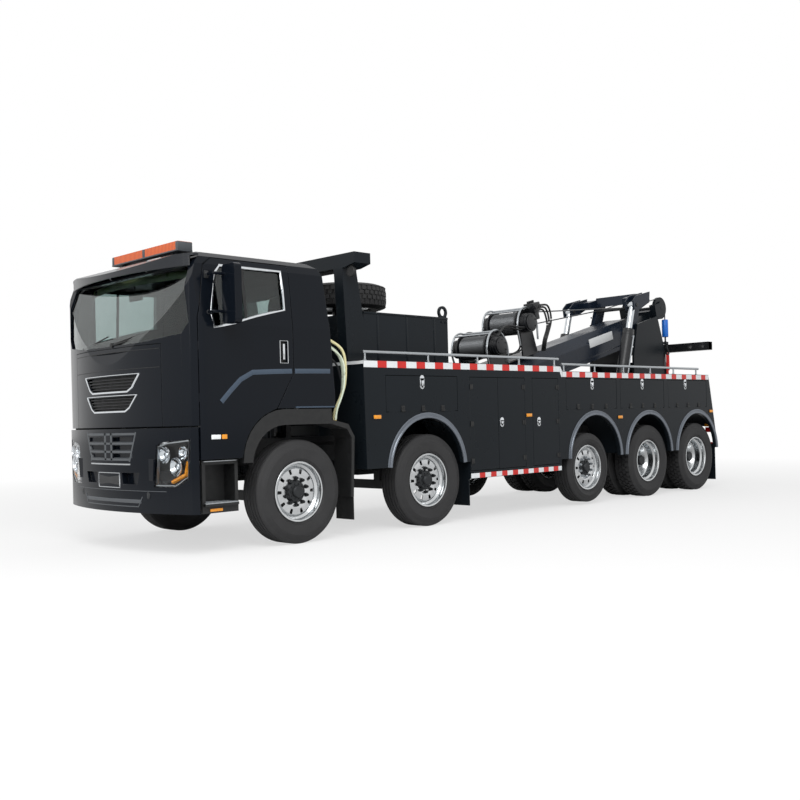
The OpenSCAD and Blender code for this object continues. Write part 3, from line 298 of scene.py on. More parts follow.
chassis_bolts = bmesh.new()
for x in (-1330, -2600, -3500, -4200, -5690, -7120, -8120):
    for side in (1, -1):
        for dx, z in ((-25, 1000), (25, 1000), (-25, 880), (25, 880)):
            add_rod(chassis_bolts, at(x + dx, side * 428, z), at(x + dx, side * 441, z), 0.012, segments=6)
fit("chassis_bolts", chassis_bolts, cast_metal, "truck")
engine_ribs = bmesh.new()
for x in range(-300, 780, 90):
    for side in (1, -1):
        add_block(engine_ribs, at(x, side * 324, 690), at(x + 22, side * 352, 1160), chamfer=5)
for x in (-200, 70, 340, 610):
    add_block(engine_ribs, at(x, -210, 1199), at(x + 150, 210, 1235), chamfer=10)
fit("engine_ribs", engine_ribs, cast_metal, "truck")
tank_straps = bmesh.new()
for x in (-4000, -3450, -2900):
    for side in (1, -1):
        add_block(tank_straps, at(x - 20, side * 600, 555), at(x + 20, side * 735, 985), chamfer=2)
brushed_steel = surface("brushed_steel", "#9ba0a4", "#b9bdc0", 0.32, patch_mm=30.0, grain_mm=1.0,
                        metallic=1.0)
fit("tank_straps", tank_straps, brushed_steel, "truck")


# Wheels: radial truck tyres on polished rims. Axles 1, 2 and 3 have one ribbed tyre on a disc with ten hand
# holes; axles 4 and 5 have twin tyres with a block tread on deep-dished rims. Ten nuts hold each disc on its
# hub.
def rubber_finish():
    """Tyre rubber: near black, with grey dust in broad patches and a moulded grain."""
    return surface("tyre_rubber", "#1b1b1c", "#3a3a3b", 0.62, patch_mm=220.0, grain_mm=2.5, grain=0.25,
                   specular=0.3)


def add_lathe(bm, profile, middle, steps=96, axis=(0, 1, 0)):
    """Turns a closed or open profile of (radius, offset along the axis) pairs, in millimetres, about the axis."""
    along = Vector(axis)
    out = Vector((0, 0, 1)) if abs(along.z) < 0.5 else Vector((1, 0, 0))
    verts = [bm.verts.new(middle + out * (r / 1000) + along * (s / 1000)) for r, s in profile]
    edges = [bm.edges.new(pair) for pair in zip(verts, verts[1:])]
    bmesh.ops.spin(bm, geom=verts + edges, cent=middle, axis=along, dvec=(0, 0, 0), angle=math.tau,
                   steps=steps,
                   use_merge=True, use_duplicate=False)


def tyre_profile(r, w, blocks):
    """Section of a tyre from one bead over the tread to the other, with ribs on its walls and grooves in its tread."""
    h = w / 2
    side = [(298, h - 42), (312, h - 34), (322, h - 22), (326, h - 24), (330, h - 19),
            (0.5 * (r + 300), h - 3),
            (r - 88, h - 2), (r - 84, h - 5), (r - 78, h - 5), (r - 72, h - 8), (r - 50, h - 14), (r - 46,
                                                                                                   h - 18),
            (r - 30, h - 22), (r - 14, h - 28), (r - 5, h - 38)]
    crown = []
    if blocks:
        crown = [(r - 16, h - 40), (r - 16, h - 90)]
    else:
        for groove in (94, 46):
            crown += [(r - 1, groove + 7), (r - 13, groove + 4), (r - 13, groove - 4), (r - 1, groove - 7)]
        crown = [(r - 2, h - 44)] + crown
    half = side + crown
    middle = [] if blocks else [(r, 9), (r - 13, 6)]
    half = half + middle
    return half + [(a, -b) for a, b in reversed(half)]


def tread_blocks(bm, r, w, middle, count, axis="Y", clear=0.0):
    """Rows of small rubber blocks round the crown of a tyre, the outer ones over the shoulder."""
    step = math.tau / count
    for k in range(count):
        for row, (low, high, shift) in enumerate(((-w / 2 + 34, -w / 2 + 92, 0.0), (-w / 2 + 100, -8, 0.5),
                                                  (8, w / 2 - 100, 0.0), (w / 2 - 92, w / 2 - 34, 0.5))):
            turn = Matrix.Translation(middle) @ Matrix.Rotation((k + shift) * step, 4, axis)
            half_length = r * step * 0.33
            if axis == "Y":
                low_corner, high_corner = (-half_length, low, r - 24), (half_length, high, r - clear)
            else:
                low_corner, high_corner = (r - 24, -half_length, low), (r - clear, half_length, high)
            made = bmesh.ops.create_cube(bm, size=1.0, matrix=turn @ Matrix.Translation(
                (Vector(low_corner) + Vector(high_corner)) / 2000) @ Matrix.Diagonal(
                ((Vector(high_corner) - Vector(low_corner)) / 1000).to_4d()))
            if row in (0, 3):
                edge_y = max(abs(low), abs(high))
                for vert in made["verts"]:
                    local = turn.inverted() @ vert.co
                    across = local.y if axis == "Y" else local.z
                    if abs(abs(across) * 1000 - edge_y) < 1:
                        out = (turn.to_3x3() @ Vector((0, 0, 1) if axis == "Y" else (1, 0, 0)))
                        vert.co -= out * 0.012


RIM_SECTION = [(301, 118), (301, 108), (288, 106), (286, 60), (262, 42), (262, -42), (286, -60), (288, -106),
               (301, -108), (301, -118), (296, -121), (283, -118), (276, -100), (274, -66), (250,
                                                                                             -46), (250, 46),
               (274, 66), (276, 100), (283, 118), (296, 121), (301, 118)]


def add_disc(bm, middle, side, radius, disc_y, dish, hole_r, holes):
    """The wheel's pressed disc, with rounded hand holes cut in its ring, as a shell 10 mm thick."""
    steps = holes * 8
    rings = [(118, disc_y), (150, disc_y + dish), (hole_r - 24, disc_y + dish),
             (hole_r + 24, disc_y + dish * 0.7),
             (radius - 16, disc_y - 8), (radius, disc_y - 34)]
    made = bmesh.new()
    add_lathe(made, rings, Vector((0, 0, 0)), steps=steps)
    bmesh.ops.remove_doubles(made, verts=made.verts, dist=0.00001)
    gone = []
    for face in made.faces:
        mid = face.calc_center_median()
        reach = math.hypot(mid.x, mid.z) * 1000
        if hole_r - 24 < reach < hole_r + 24:
            k = int(math.degrees(math.atan2(mid.x, mid.z)) % 360 / (360 / steps))
            if k % 8 in (3, 4):
                gone.append(face)
    bmesh.ops.delete(made, geom=gone, context="FACES")
    rim_edges = [e for e in made.edges if e.is_boundary]
    corners = [v for e in rim_edges for v in e.verts]
    holes_only = list({v for v in corners if hole_r - 30 < math.hypot(v.co.x, v.co.z) * 1000 < hole_r + 30})
    bmesh.ops.smooth_vert(made, verts=holes_only, factor=0.25, use_axis_x=True, use_axis_y=True,
                          use_axis_z=True)
    bmesh.ops.recalc_face_normals(made, faces=made.faces)
    bmesh.ops.solidify(made, geom=made.faces[:], thickness=0.010)
    if side < 0:
        bmesh.ops.scale(made, vec=(1, -1, 1), verts=made.verts)
    bmesh.ops.translate(made, vec=middle, verts=made.verts)
    shell = bpy.data.meshes.new("disc_shell")
    made.to_mesh(shell)
    made.free()
    bm.from_mesh(shell)
    bpy.data.meshes.remove(shell)


rubber = rubber_finish()
polished_alloy = surface("polished_alloy", "#b4b7b9", "#d9dbdc", 0.22, patch_mm=120.0, grain_mm=1.0,
                         grain=0.06,
                         metallic=1.0)
dark_hub = surface("dark_hub_casting", "#26282a", "#3b3d3f", 0.45, patch_mm=60.0, grain_mm=2.0, grain=0.3,
                   metallic=0.7)
AXLE_PLACES = [0, -1850, -4930, -6430, -7800]

for axle, axle_place in enumerate(AXLE_PLACES):
    for side, word in ((1, "left"), (-1, "right")):
        number = axle + 1
        body = f"wheel_{number}_{word}"
        twin = axle > 2
        lifted = axle == 2
        r = 466 if lifted else 520
        height = 501 if lifted else 520
        middle = at(axle_place, side * 1072, height)
        tyre_bm = bmesh.new()
        rim_bm = bmesh.new()
        for inward in ((0, 342) if twin else (0,)):
            place = middle - Vector((0, side * inward / 1000, 0))
            add_lathe(tyre_bm, tyre_profile(r, 296, twin), place)
            if twin:
                tread_blocks(tyre_bm, r, 296, place, 44, clear=1.0)
            add_lathe(rim_bm, RIM_SECTION, place)
        tyre = fit(f"tyre_{number}_{word}", tyre_bm, rubber, body)
        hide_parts(body)
        hub_bm = bmesh.new()
        nut_bm = bmesh.new()
        if twin:
            disc_mid = middle - Vector((0, side * 0.171, 0))
            add_lathe(rim_bm, [(110, side * 12), (198, side * 14), (243, side * 112), (252, side * 126), (246, side * 132),
                               (232, side * 116), (190, side * 24), (110, side * 24), (110,
                                                                                       side * 12)], disc_mid)
            add_lathe(hub_bm, [(0, side * 190), (62, side * 190), (70, side * 180), (72, side * 60), (104, side * 50),
                               (110, side * 24), (112, -side * 160), (0, -side * 160)], disc_mid)
            nut_ring, nut_y = 150, 24
            nut_mid = disc_mid
        else:
            nut_mid = middle
            bulge = 8 if lifted else 0
            add_disc(rim_bm, middle, side, 262, 52 + bulge, 12 + bulge, 205, 10)
            add_lathe(hub_bm, [(0, side * 112), (52, side * 112), (60, side * 104), (64, side * 82), (98, side * 78),
                               (112, side * 62), (114, side * 50), (100, side * 40), (100, -side * 130),
                               (0, -side * 130)], middle)
            nut_ring, nut_y = 134, 60 + bulge
            for k in range(10):
                angle = (k + 0.5) * math.tau / 10
                spot = middle + Vector((0.078 * math.sin(angle), side * 0.078, 0.078 * math.cos(angle)))
                add_rod(hub_bm, spot, spot + Vector((0, side * 0.012, 0)), 0.008, segments=6)
        for k in range(10):
            angle = k * math.tau / 10
            spot = nut_mid + Vector((nut_ring / 1000 * math.sin(angle), side * nut_y / 1000,
                                     nut_ring / 1000 * math.cos(angle)))
            add_rod(nut_bm, spot, spot + Vector((0, side * 0.006, 0)), 0.021, segments=16)
            add_rod(nut_bm, spot, spot + Vector((0, side * 0.030, 0)), 0.016, segments=6)
            add_rod(nut_bm, spot, spot + Vector((0, side * 0.040, 0)), 0.009, segments=10)
        fit(f"rim_{number}_{word}", rim_bm, polished_alloy, body)
        fit(f"hub_{number}_{word}", hub_bm, dark_hub, body)
        fit(f"wheel_nuts_{number}_{word}", nut_bm, brushed_steel if twin or lifted else dark_hub, body)


# Cab: pressed and welded steel in deep gloss navy black, with a clear coat. Its doors hang in front on two
# barrels; a bright moulding frames each side window, and a raised band follows the wheel arch below
# it, coloured a lighter blue-grey as a painted highlight on its raised face.
def add_plate(bm, outline, y_low, y_high, side=1):
    """A plate lying in X and Z: an outline in drawing millimetres, thickened between two values of Y."""
    face = bm.faces.new([bm.verts.new(at(x, side * y_low, z)) for x, z in outline])
    wall = bmesh.ops.extrude_face_region(bm, geom=[face])
    bmesh.ops.translate(bm, vec=(0, side * (y_high - y_low) / 1000, 0),
                        verts=[v for v in wall["geom"] if isinstance(v, bmesh.types.BMVert)])


navy_gloss = surface("navy_black_gloss_paint", "#0a0e14", "#0e131a", 0.13, patch_mm=900.0, grain_mm=8.0,
                     grain=0.02,
                     specular=0.15, edge_mm=7.0)
repaint("cab_shell", navy_gloss)
repaint("cab_door_left", navy_gloss)
repaint("cab_door_right", navy_gloss)
bright_trim = surface("bright_trim", "#c9cdd1", "#e2e5e8", 0.12, patch_mm=40.0, grain_mm=1.0, grain=0.02,
                      metallic=1.0)
# The relief colour is a lighter blue-grey that stands for painted highlight on the raised bands and the floor-line lip.
relief_painted_highlight = surface("relief_blue_grey_painted_highlight", "#33404f", "#3d4b5b", 0.25, patch_mm=500.0, grain_mm=6.0,
                       grain=0.03, specular=0.4)
rubber_trim = surface("rubber_seal", "#08090a", "#101112", 0.6, patch_mm=60.0, grain=0.15)


def wall_y(z):
    """How far out the cab's side stands at a height: upright to the belt, leaning in above it."""
    return 1245 if z < 2150 else 1245 - 55 * (z - 2150) / 550


def add_strip(bm, line, width, proud, side=1, closed=False):
    """A flat moulding that follows a line of (x, z) points on the cab's side, with its edge out from the wall."""
    count = len(line)
    loops = []
    for i, (x, z) in enumerate(line):
        px, pz = line[i - 1] if i or closed else line[i]
        nx, nz = line[(i + 1) % count] if i + 1 < count or closed else line[i]
        dx, dz = nx - px, nz - pz
        length = math.hypot(dx, dz)
        ox, oz = -dz / length * width / 2, dx / length * width / 2
        loops.append([bm.verts.new(at(x + ox, side * (wall_y(z) - 4), z + oz)),
                      bm.verts.new(at(x + ox * 0.6, side * (wall_y(z) + proud), z + oz * 0.6)),
                      bm.verts.new(at(x - ox * 0.6, side * (wall_y(z) + proud), z - oz * 0.6)),
                      bm.verts.new(at(x - ox, side * (wall_y(z) - 4), z - oz))])
    pairs = list(zip(loops, loops[1:])) + ([(loops[-1], loops[0])] if closed else [])
    for one, other in pairs:
        for k in range(4):
            bm.faces.new((one[k], one[(k + 1) % 4], other[(k + 1) % 4], other[k]))
    if not closed:
        bm.faces.new(loops[0])
        bm.faces.new(loops[-1])


window_line = [(160, 2320), (330, 2282), (500, 2240), (640, 2200), (760, 2160), (880, 2133), (985, 2110),
               (1010, 2250),
               (985, 2380), (958, 2510), (930, 2640), (880, 2700), (520, 2700), (170, 2700), (160, 2520)]
relief_line = [(1200, 1350), (930, 1420), (820, 1530), (710, 1630), (570, 1700), (300, 1712), (100, 1718)]
for side, word in ((1, "left"), (-1, "right")):
    trim_bm = bmesh.new()
    add_strip(trim_bm, window_line, 26, 3, side, closed=True)
    fit(f"window_moulding_{word}", trim_bm, bright_trim, f"cab_door_{word}")
    seal_bm = bmesh.new()
    add_strip(seal_bm, [(620, 2205), (628, 2700)], 34, 2, side)
    fit(f"window_bar_{word}", seal_bm, rubber_trim, f"cab_door_{word}")
    # The raised bands take the lighter blue-grey painted highlight.
    relief_bm = bmesh.new()
    add_strip(relief_bm, [(x, z) for x, z in relief_line if 90 < x < 1149], 62, 3, side)
    fit(f"door_relief_{word}", relief_bm, relief_painted_highlight, f"cab_door_{word}")
    rear_relief_bm = bmesh.new()
    add_strip(rear_relief_bm, [(62, 1719), (-180, 1723), (-390, 1725)], 62, 3, side)
    fit(f"rear_relief_{word}", rear_relief_bm, relief_painted_highlight, "truck")
    # The floor-line lip takes the same lighter blue-grey painted highlight.
    lip_bm = bmesh.new()
    add_strip(lip_bm, [(62, 1362), (-180, 1362), (-440, 1362)], 20, 4, side)
    fit(f"floor_line_{word}", lip_bm, relief_painted_highlight, "truck")

    handle_bm = bmesh.new()
    add_strip(handle_bm, [(145, 1796), (240, 1796), (240, 2014), (145, 2014)], 12, 5, side, closed=True)
    add_block(handle_bm, at(180, side * 1228, 1830), at(206, side * 1250, 1985), chamfer=5)
    fit(f"door_handle_{word}", handle_bm, bright_trim, f"cab_door_{word}")
    recess_bm = bmesh.new()
    add_block(recess_bm, at(152, side * 1212, 1803), at(233, side * 1220, 2007), chamfer=2)
    fit(f"handle_recess_{word}", recess_bm, rubber_trim, f"cab_door_{word}")

window_glass = bpy.data.materials.new("tinted_window_glass")
window_glass.use_nodes = True
glass_tree = window_glass.node_tree
glass_tree.nodes.clear()
glass_where = add(glass_tree, "ShaderNodeTexCoord")
glass_streak = add(glass_tree, "ShaderNodeTexNoise", {"Vector": glass_where.outputs["Object"], "Scale": 2.0})
glass_tint = add(glass_tree, "ShaderNodeMix", {0: glass_streak.outputs[0], 6: linear("#c3cfce"),
                                               7: linear("#a4b5b2")}, data_type="RGBA")
glass_shader = add(glass_tree, "ShaderNodeBsdfPrincipled", {
    "Base Color": glass_tint.outputs[2], "Roughness": 0.0, "Transmission Weight": 1.0, "IOR": 1.45})
add(glass_tree, "ShaderNodeOutputMaterial", {"Surface": glass_shader.outputs[0]})
for node in ("windscreen", "door_glass_left", "door_glass_right"):
    repaint(node, window_glass)


# Seats: foam on a steel pan, covered in black cloth with stitched bolsters, on air-sprung pillars. The
# dashboard is a grained plastic moulding. The covers are crowned and drawn in between their corners.
cloth = bpy.data.materials.new("woven_seat_cloth")
cloth.use_nodes = True
cloth_tree = cloth.node_tree
cloth_tree.nodes.clear()
cloth_where = add(cloth_tree, "ShaderNodeTexCoord")
warp = add(cloth_tree, "ShaderNodeTexWave", {"Vector": cloth_where.outputs["Object"], "Scale": 90.0},
           bands_direction="Y")
weft = add(cloth_tree, "ShaderNodeTexWave", {"Vector": cloth_where.outputs["Object"], "Scale": 90.0},
           bands_direction="Z")
weave = add(cloth_tree, "ShaderNodeMath", {0: warp.outputs[1], 1: weft.outputs[1]}, operation="MULTIPLY")
cloth_colour = add(cloth_tree, "ShaderNodeMix", {0: weave.outputs[0], 6: linear("#141416"), 7: linear("#26262a")},
                   data_type="RGBA")
cloth_bump = add(cloth_tree, "ShaderNodeBump", {"Height": weave.outputs[0], "Strength": 0.3, "Distance": 0.001})
cloth_shader = add(cloth_tree, "ShaderNodeBsdfPrincipled", {
    "Base Color": cloth_colour.outputs[2], "Roughness": 0.9, "Sheen Weight": 0.3,
    "Normal": cloth_bump.outputs[0]})
add(cloth_tree, "ShaderNodeOutputMaterial", {"Surface": cloth_shader.outputs[0]})


def cushion(name, low, high, crown, lean=0.0):
    """A crowned cushion: bolsters at its sides, a dip along each seam, softened by subdivision."""
    bm = bmesh.new()
    add_block(bm, low, high)
    bmesh.ops.subdivide_edges(bm, edges=bm.edges[:], cuts=5, use_grid_fill=True)
    middle = (low + high) / 2
    half = (high - low) / 2
    for vert in bm.verts:
        u, v, w = ((vert.co[i] - middle[i]) / half[i] for i in range(3))
        swell = crown * (1 - u * u * 0.9) * (1 - v * v * 0.9) * (1 - w * w * 0.9)
        near = vert.co - middle
        vert.co = middle + near * (1 - 0.10 * (abs(u) * abs(v) * abs(w)))
        vert.co += near.normalized() * swell * 0.5 if near.length else Vector()
        seam = math.exp(-((abs(v) - 0.6) / 0.10) ** 2)
        if abs(u) > 0.9 or abs(w) > 0.9:
            vert.co -= near.normalized() * seam * 0.010
        vert.co.x += lean * (vert.co.z - low.z)
    pad = fit(name, bm, cloth, "truck")
    soft = pad.modifiers.new("soft", "SUBSURF")
    soft.levels = soft.render_levels = 2
    return pad


pillar_bm = bmesh.new()
pads = []
for y, word in ((760, "driver"), (-760, "mate")):
    pads.append(cushion(f"seat_squab_{word}", at(-55, y - 250, 1645), at(470, y + 250, 1775), 0.02))
    pads.append(cushion(f"seat_back_{word}", at(-50, y - 240, 1770), at(75, y + 240, 2330), 0.02, lean=-0.2))
    pads.append(cushion(f"head_rest_{word}", at(-140, y - 130, 2345), at(-60, y + 130, 2520), 0.012,
                        lean=-0.2))
    add_block(pillar_bm, at(60, y - 180, 1412.5), at(350, y + 180, 1500), chamfer=12)
    add_block(pillar_bm, at(0, y - 220, 1590), at(420, y + 220, 1640), chamfer=12)
    for z in range(1500, 1590, 22):
        add_block(pillar_bm, at(90, y - 150, z), at(320, y + 150, z + 16), chamfer=7)
    for dy in (-60, 60):
        add_rod(pillar_bm, at(-95, y + dy, 2300), at(-105, y + dy, 2400), 0.007, segments=10)
seat_plastic = surface("grained_black_plastic", "#131416", "#1c1e20", 0.55, patch_mm=80.0, grain_mm=1.5,
                       grain=0.3,
                       edge_mm=4.0)
pillars = fit("seat_pillars", pillar_bm, seat_plastic, "truck")
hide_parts("seats")
repaint("dashboard", seat_plastic)
dash_bm = bmesh.new()
add_block(dash_bm, at(885, 560, 1760), at(905, 960, 1880), chamfer=4)
for y in (-600, -200, 200):
    add_block(dash_bm, at(850, y - 90, 1640), at(880, y + 90, 1720), chamfer=4)
fit("dash_panels", dash_bm, brushed_steel, "truck")


# Front panel: a gloss black flap hinged below the windscreen, with two stacked grilles. Each grille is an
# open-topped bright frame with black slats behind it, clipped in from the back.
repaint("front_panel", navy_gloss)
bow = 3600


def bow_x(y, front=1405):
    """How far forward the cab's bowed front stands at a distance from its middle."""
    return front - bow + math.sqrt(bow * bow - y * y)


def add_bowed_bar(bm, line, thick, depth, front=1405, proud=4):
    """A bar that follows points (y, z) over the bowed front, square in section, its front edge drawn in."""
    loops = []
    count = len(line)
    for i, (y, z) in enumerate(line):
        py, pz = line[max(i - 1, 0)]
        ny, nz = line[min(i + 1, count - 1)]
        dy, dz = ny - py, nz - pz
        length = math.hypot(dy, dz)
        oy, oz = -dz / length * thick / 2, dy / length * thick / 2
        x = min(bow_x(y, front) + proud, 1420)
        loops.append([bm.verts.new(at(x - depth, y + oy, z + oz)),
                      bm.verts.new(at(x, y + oy * 0.5, z + oz * 0.5)),
                      bm.verts.new(at(x, y - oy * 0.5, z - oz * 0.5)), bm.verts.new(at(x - depth, y - oy,
                                                                                       z - oz))])
    for one, other in zip(loops, loops[1:]):
        for k in range(4):
            bm.faces.new((one[k], one[(k + 1) % 4], other[(k + 1) % 4], other[k]))
    bm.faces.new(loops[0])
    bm.faces.new(loops[-1])


def spread(points, steps=12):
    """The points of a broken line with more points set evenly between them, so that it can follow the bow."""
    line = []
    for (a, b), (c, d) in zip(points, points[1:]):
        line += [(a + (c - a) * k / steps, b + (d - b) * k / steps) for k in range(steps)]
    return line + [points[-1]]


grille_bm = bmesh.new()
slat_bm = bmesh.new()
for half, top_z, low_z in ((530, 1712, 1548), (490, 1512, 1358)):
    add_bowed_bar(grille_bm, spread([(-half, top_z), (-half + 115, low_z + 34), (-half + 185, low_z),
                                     (half - 185, low_z), (half - 115, low_z + 34), (half, top_z)]), 30, 24,
                  front=1405, proud=6)
    add_bowed_bar(grille_bm, spread([(-half - 10, top_z + 2), (half + 10, top_z + 2)], 20), 12, 18)
    for k in range(4):
        z = low_z + 34 + k * 30
        reach = half - 150 + k * 26
        add_bowed_bar(slat_bm, spread([(-reach, z), (reach, z)], 16), 14, 22, proud=-8)
fit("grille_frames", grille_bm, bright_trim, "front_panel")
fit("grille_slats", slat_bm, seat_plastic, "front_panel")
# Near-black bars along the front panel's two creases: painted shade in the creases.
crease_shade_bm = bmesh.new()
for z in (1762, 1936):
    add_bowed_bar(crease_shade_bm, spread([(-812, z), (812, z)], 24), 10, 10, proud=2)
fit("front_panel_crease_shade", crease_shade_bm, rubber_trim, "front_panel")
mesh_bm = bmesh.new()
for half, top_z, low_z in ((500, 1700, 1560), (465, 1500, 1372)):
    add_bowed_bar(mesh_bm, spread([(-half + 60, (top_z + low_z) / 2), (half - 60, (top_z + low_z) / 2)], 16),
                  top_z - low_z + 10, 5, proud=-34)
fit("grille_backs", mesh_bm, rubber_trim, "front_panel")

# Wipers: two pressed arms with rubber blades, parked along the windscreen's foot.
wiper_bm = bmesh.new()
for y in (-640, 40):
    foot = at(bow_x(y, 1372), y, 2012)
    tip = at(bow_x(y + 560, 1352), y + 560, 2075)
    add_rod(wiper_bm, foot - Vector((0.03, 0, 0)), foot + Vector((0.012, 0, 0)), 0.022, segments=16)
    add_rod(wiper_bm, foot, foot.lerp(tip, 0.6), 0.011, 0.007, segments=8)
    add_rod(wiper_bm, foot.lerp(tip, 0.15) + Vector((0, 0, 0.012)), tip + Vector((0, 0, 0.03)), 0.007,
            segments=8)
fit("wipers", wiper_bm, rubber_trim, "truck")


# Bumper: one sprayed steel pressing. A grey plastic insert with slots fills its middle, with a bright strip,
# a blank plate in a bright holder and an air dam below, and a lamp opening at each end.
repaint("bumper", navy_gloss)
grey_plastic = surface("grey_bumper_plastic", "#3b3f43", "#4a4e52", 0.5, patch_mm=120.0, grain_mm=1.5,
                       grain=0.3)
insert_bm = bmesh.new()
for z, half in ((1140, 470), (1050, 440), (970, 410), (895, 380)):
    add_bowed_bar(insert_bm, spread([(-half, z), (half, z)], 16), 40, 20, front=1420, proud=3)
for s in (1, -1):
    add_bowed_bar(insert_bm, spread([(s * 480, 1158), (s * 375, 876)], 6), 34, 20, front=1420, proud=3)
    add_bowed_bar(insert_bm, spread([(s * 60, 1150), (s * 60, 880)], 4), 60, 14, front=1420, proud=1)
fit("bumper_insert", insert_bm, grey_plastic, "truck")
strip_bm = bmesh.new()
add_bowed_bar(strip_bm, spread([(-390, 850), (390, 850)], 16), 26, 16, front=1420, proud=4)
add_bowed_bar(strip_bm, spread([(-205, 625), (-205, 765), (205, 765), (205, 625), (-205, 625)], 5), 14, 16,
              front=1420,
              proud=7)
fit("bumper_bright_strip", strip_bm, bright_trim, "truck")
plate_bm = bmesh.new()
add_bowed_bar(plate_bm, spread([(-200, 695), (200, 695)], 6), 126, 8, front=1420, proud=4)
blank_white = surface("blank_plate_enamel", "#cfd2d3", "#dcdedf", 0.4, patch_mm=90.0, grain_mm=1.0)
fit("blank_number_plate", plate_bm, black_satin, "truck")
dam_bm = bmesh.new()
add_bowed_bar(dam_bm, spread([(-880, 600), (880, 600)], 24), 10, 12, front=1420, proud=3)
add_bowed_bar(dam_bm, spread([(-560, 545), (-500, 450), (500, 450), (560, 545)], 12), 16, 14, front=1420,
              proud=4)
add_bowed_bar(dam_bm, spread([(-540, 500), (540, 500)], 16), 60, 6, front=1420, proud=1)
fit("air_dam", dam_bm, grey_plastic, "truck")
tow_bm = bmesh.new()
for s in (1, -1):
    add_rod(tow_bm, at(1340, s * 640, 560), at(bow_x(640, 1420) + 3, s * 640, 560), 0.032, segments=20,
            chamfer=3)
fit("towing_pin_sockets", tow_bm, dark_hub, "truck")


# Headlamps: a clear polycarbonate cover over two reflector bowls, a bright bezel and an amber turn indicator.
lens = bpy.data.materials.new("clear_lamp_cover")
lens.use_nodes = True
lens_tree = lens.node_tree
lens_tree.nodes.clear()
lens_where = add(lens_tree, "ShaderNodeTexCoord")
lens_haze = add(lens_tree, "ShaderNodeTexNoise", {"Vector": lens_where.outputs["Object"], "Scale": 14.0})
lens_tint = add(lens_tree, "ShaderNodeMix", {0: lens_haze.outputs[0], 6: linear("#e6eaec"), 7: linear("#f6f8f9")},
                data_type="RGBA")
lens_shader = add(lens_tree, "ShaderNodeBsdfPrincipled", {
    "Base Color": lens_tint.outputs[2], "Roughness": 0.03, "Transmission Weight": 1.0, "IOR": 1.3})
add(lens_tree, "ShaderNodeOutputMaterial", {"Surface": lens_shader.outputs[0]})
repaint("headlamps", lens)
amber_lens = surface("amber_lens", "#d9820f", "#f0a32a", 0.15, patch_mm=20.0, grain_mm=3.0, grain=0.2,
                     specular=0.6)
red_lens = surface("red_lens", "#8d0f10", "#b3191a", 0.15, patch_mm=20.0, grain_mm=3.0, grain=0.2,
                   specular=0.6)
bowl_bm = bmesh.new()
bezel_bm = bmesh.new()
turn_bm = bmesh.new()
for s in (1, -1):
    for y, z, r in ((850, 940, 74), (985, 830, 84), (1070, 960, 60)):
        add_lathe(bowl_bm, [(12, -36), (r * 0.55, -30), (r * 0.85, -12), (r, 4), (r + 6, 4), (r + 6, -8),
                            (r * 0.9, -24), (12, -44), (12, -36)], at(bow_x(y, 1420) - 14, s * y, z), 32,
                  axis=(1, 0, 0))
        add_lathe(bowl_bm, [(0, -6), (r * 0.3, -12), (r * 0.34, -30), (0, -34)],
                  at(bow_x(y, 1420) - 14, s * y, z), 24,
                  axis=(1, 0, 0))
    add_bowed_bar(bezel_bm, spread([(s * 745, 655), (s * 990, 655), (s * 1125, 735), (s * 1145, 1060)], 6),
                  16, 30,
                  front=1420, proud=-8)
    add_bowed_bar(bezel_bm, spread([(s * 748, 665), (s * 775, 1015), (s * 865, 1046), (s * 1140, 1072)], 6), 14, 30,
                  front=1420, proud=-8)
    add_bowed_bar(turn_bm, spread([(s * 930, 690), (s * 1090, 760), (s * 1118, 880)], 6), 42, 26, front=1420,
                  proud=-12)
fit("lamp_bowls", bowl_bm, bright_trim, "truck")
fit("lamp_bezels", bezel_bm, brushed_steel, "truck")
fit("turn_indicators", turn_bm, amber_lens, "truck")


# Sun visor and light bar: a painted sheet visor on four brackets over the windscreen, and an amber warning
# bar on the roof with grey end caps. The CAD node holds both, so its finish changes to amber plastic above
# the roof.
visor_finish = surface("visor_paint_and_amber_bar", "#0b0f15", "#0f141b", 0.2, patch_mm=900.0, grain_mm=8.0,
                       grain=0.02, specular=0.4, edge_mm=5.0)
visor_tree = visor_finish.node_tree
visor_shader = next(n for n in visor_tree.nodes if n.type == "BSDF_PRINCIPLED")
visor_paint = visor_shader.inputs["Base Color"].links[0].from_socket
visor_where = add(visor_tree, "ShaderNodeTexCoord")
visor_axes = add(visor_tree, "ShaderNodeSeparateXYZ", {0: visor_where.outputs["Object"]})
bar_above = add(visor_tree, "ShaderNodeMath", {0: visor_axes.outputs[2], 1: 2.908}, operation="GREATER_THAN")
bar_ribs = add(visor_tree, "ShaderNodeTexWave", {"Vector": visor_where.outputs["Object"], "Scale": 12.0},
               bands_direction="Y")
bar_amber = add(visor_tree, "ShaderNodeMix", {0: bar_ribs.outputs[1], 6: linear("#a8330f"), 7: linear("#e06a1c")},
                data_type="RGBA")
bar_or_visor = add(visor_tree, "ShaderNodeMix", {0: bar_above.outputs[0], 6: visor_paint, 7: bar_amber.outputs[2]},
                   data_type="RGBA")
visor_tree.links.new(bar_or_visor.outputs[2], visor_shader.inputs["Base Color"])
repaint("sun_visor", visor_finish)
cap_bm = bmesh.new()
for s in (1, -1):
    add_block(cap_bm, at(816, s * 600, 2906), at(984, s * 646, 2999), chamfer=8)
add_block(cap_bm, at(814, -645, 2904), at(986, 645, 2920), chamfer=4)
add_block(cap_bm, at(816, -24, 2906), at(984, 24, 2999.5), chamfer=6)
fit("light_bar_caps", cap_bm, grey_plastic, "truck")
strip_lamp_bm = bmesh.new()
for y0, y1 in ((380, 620), (-620, -380)):
    add_block(strip_lamp_bm, at(1130, y0, 2797), at(1165, y1, 2822), chamfer=5)
    add_block(strip_lamp_bm, at(1120, y0 + 30, 2789), at(1150, y0 + 60, 2800))
    add_block(strip_lamp_bm, at(1120, y1 - 60, 2789), at(1150, y1 - 30, 2800))
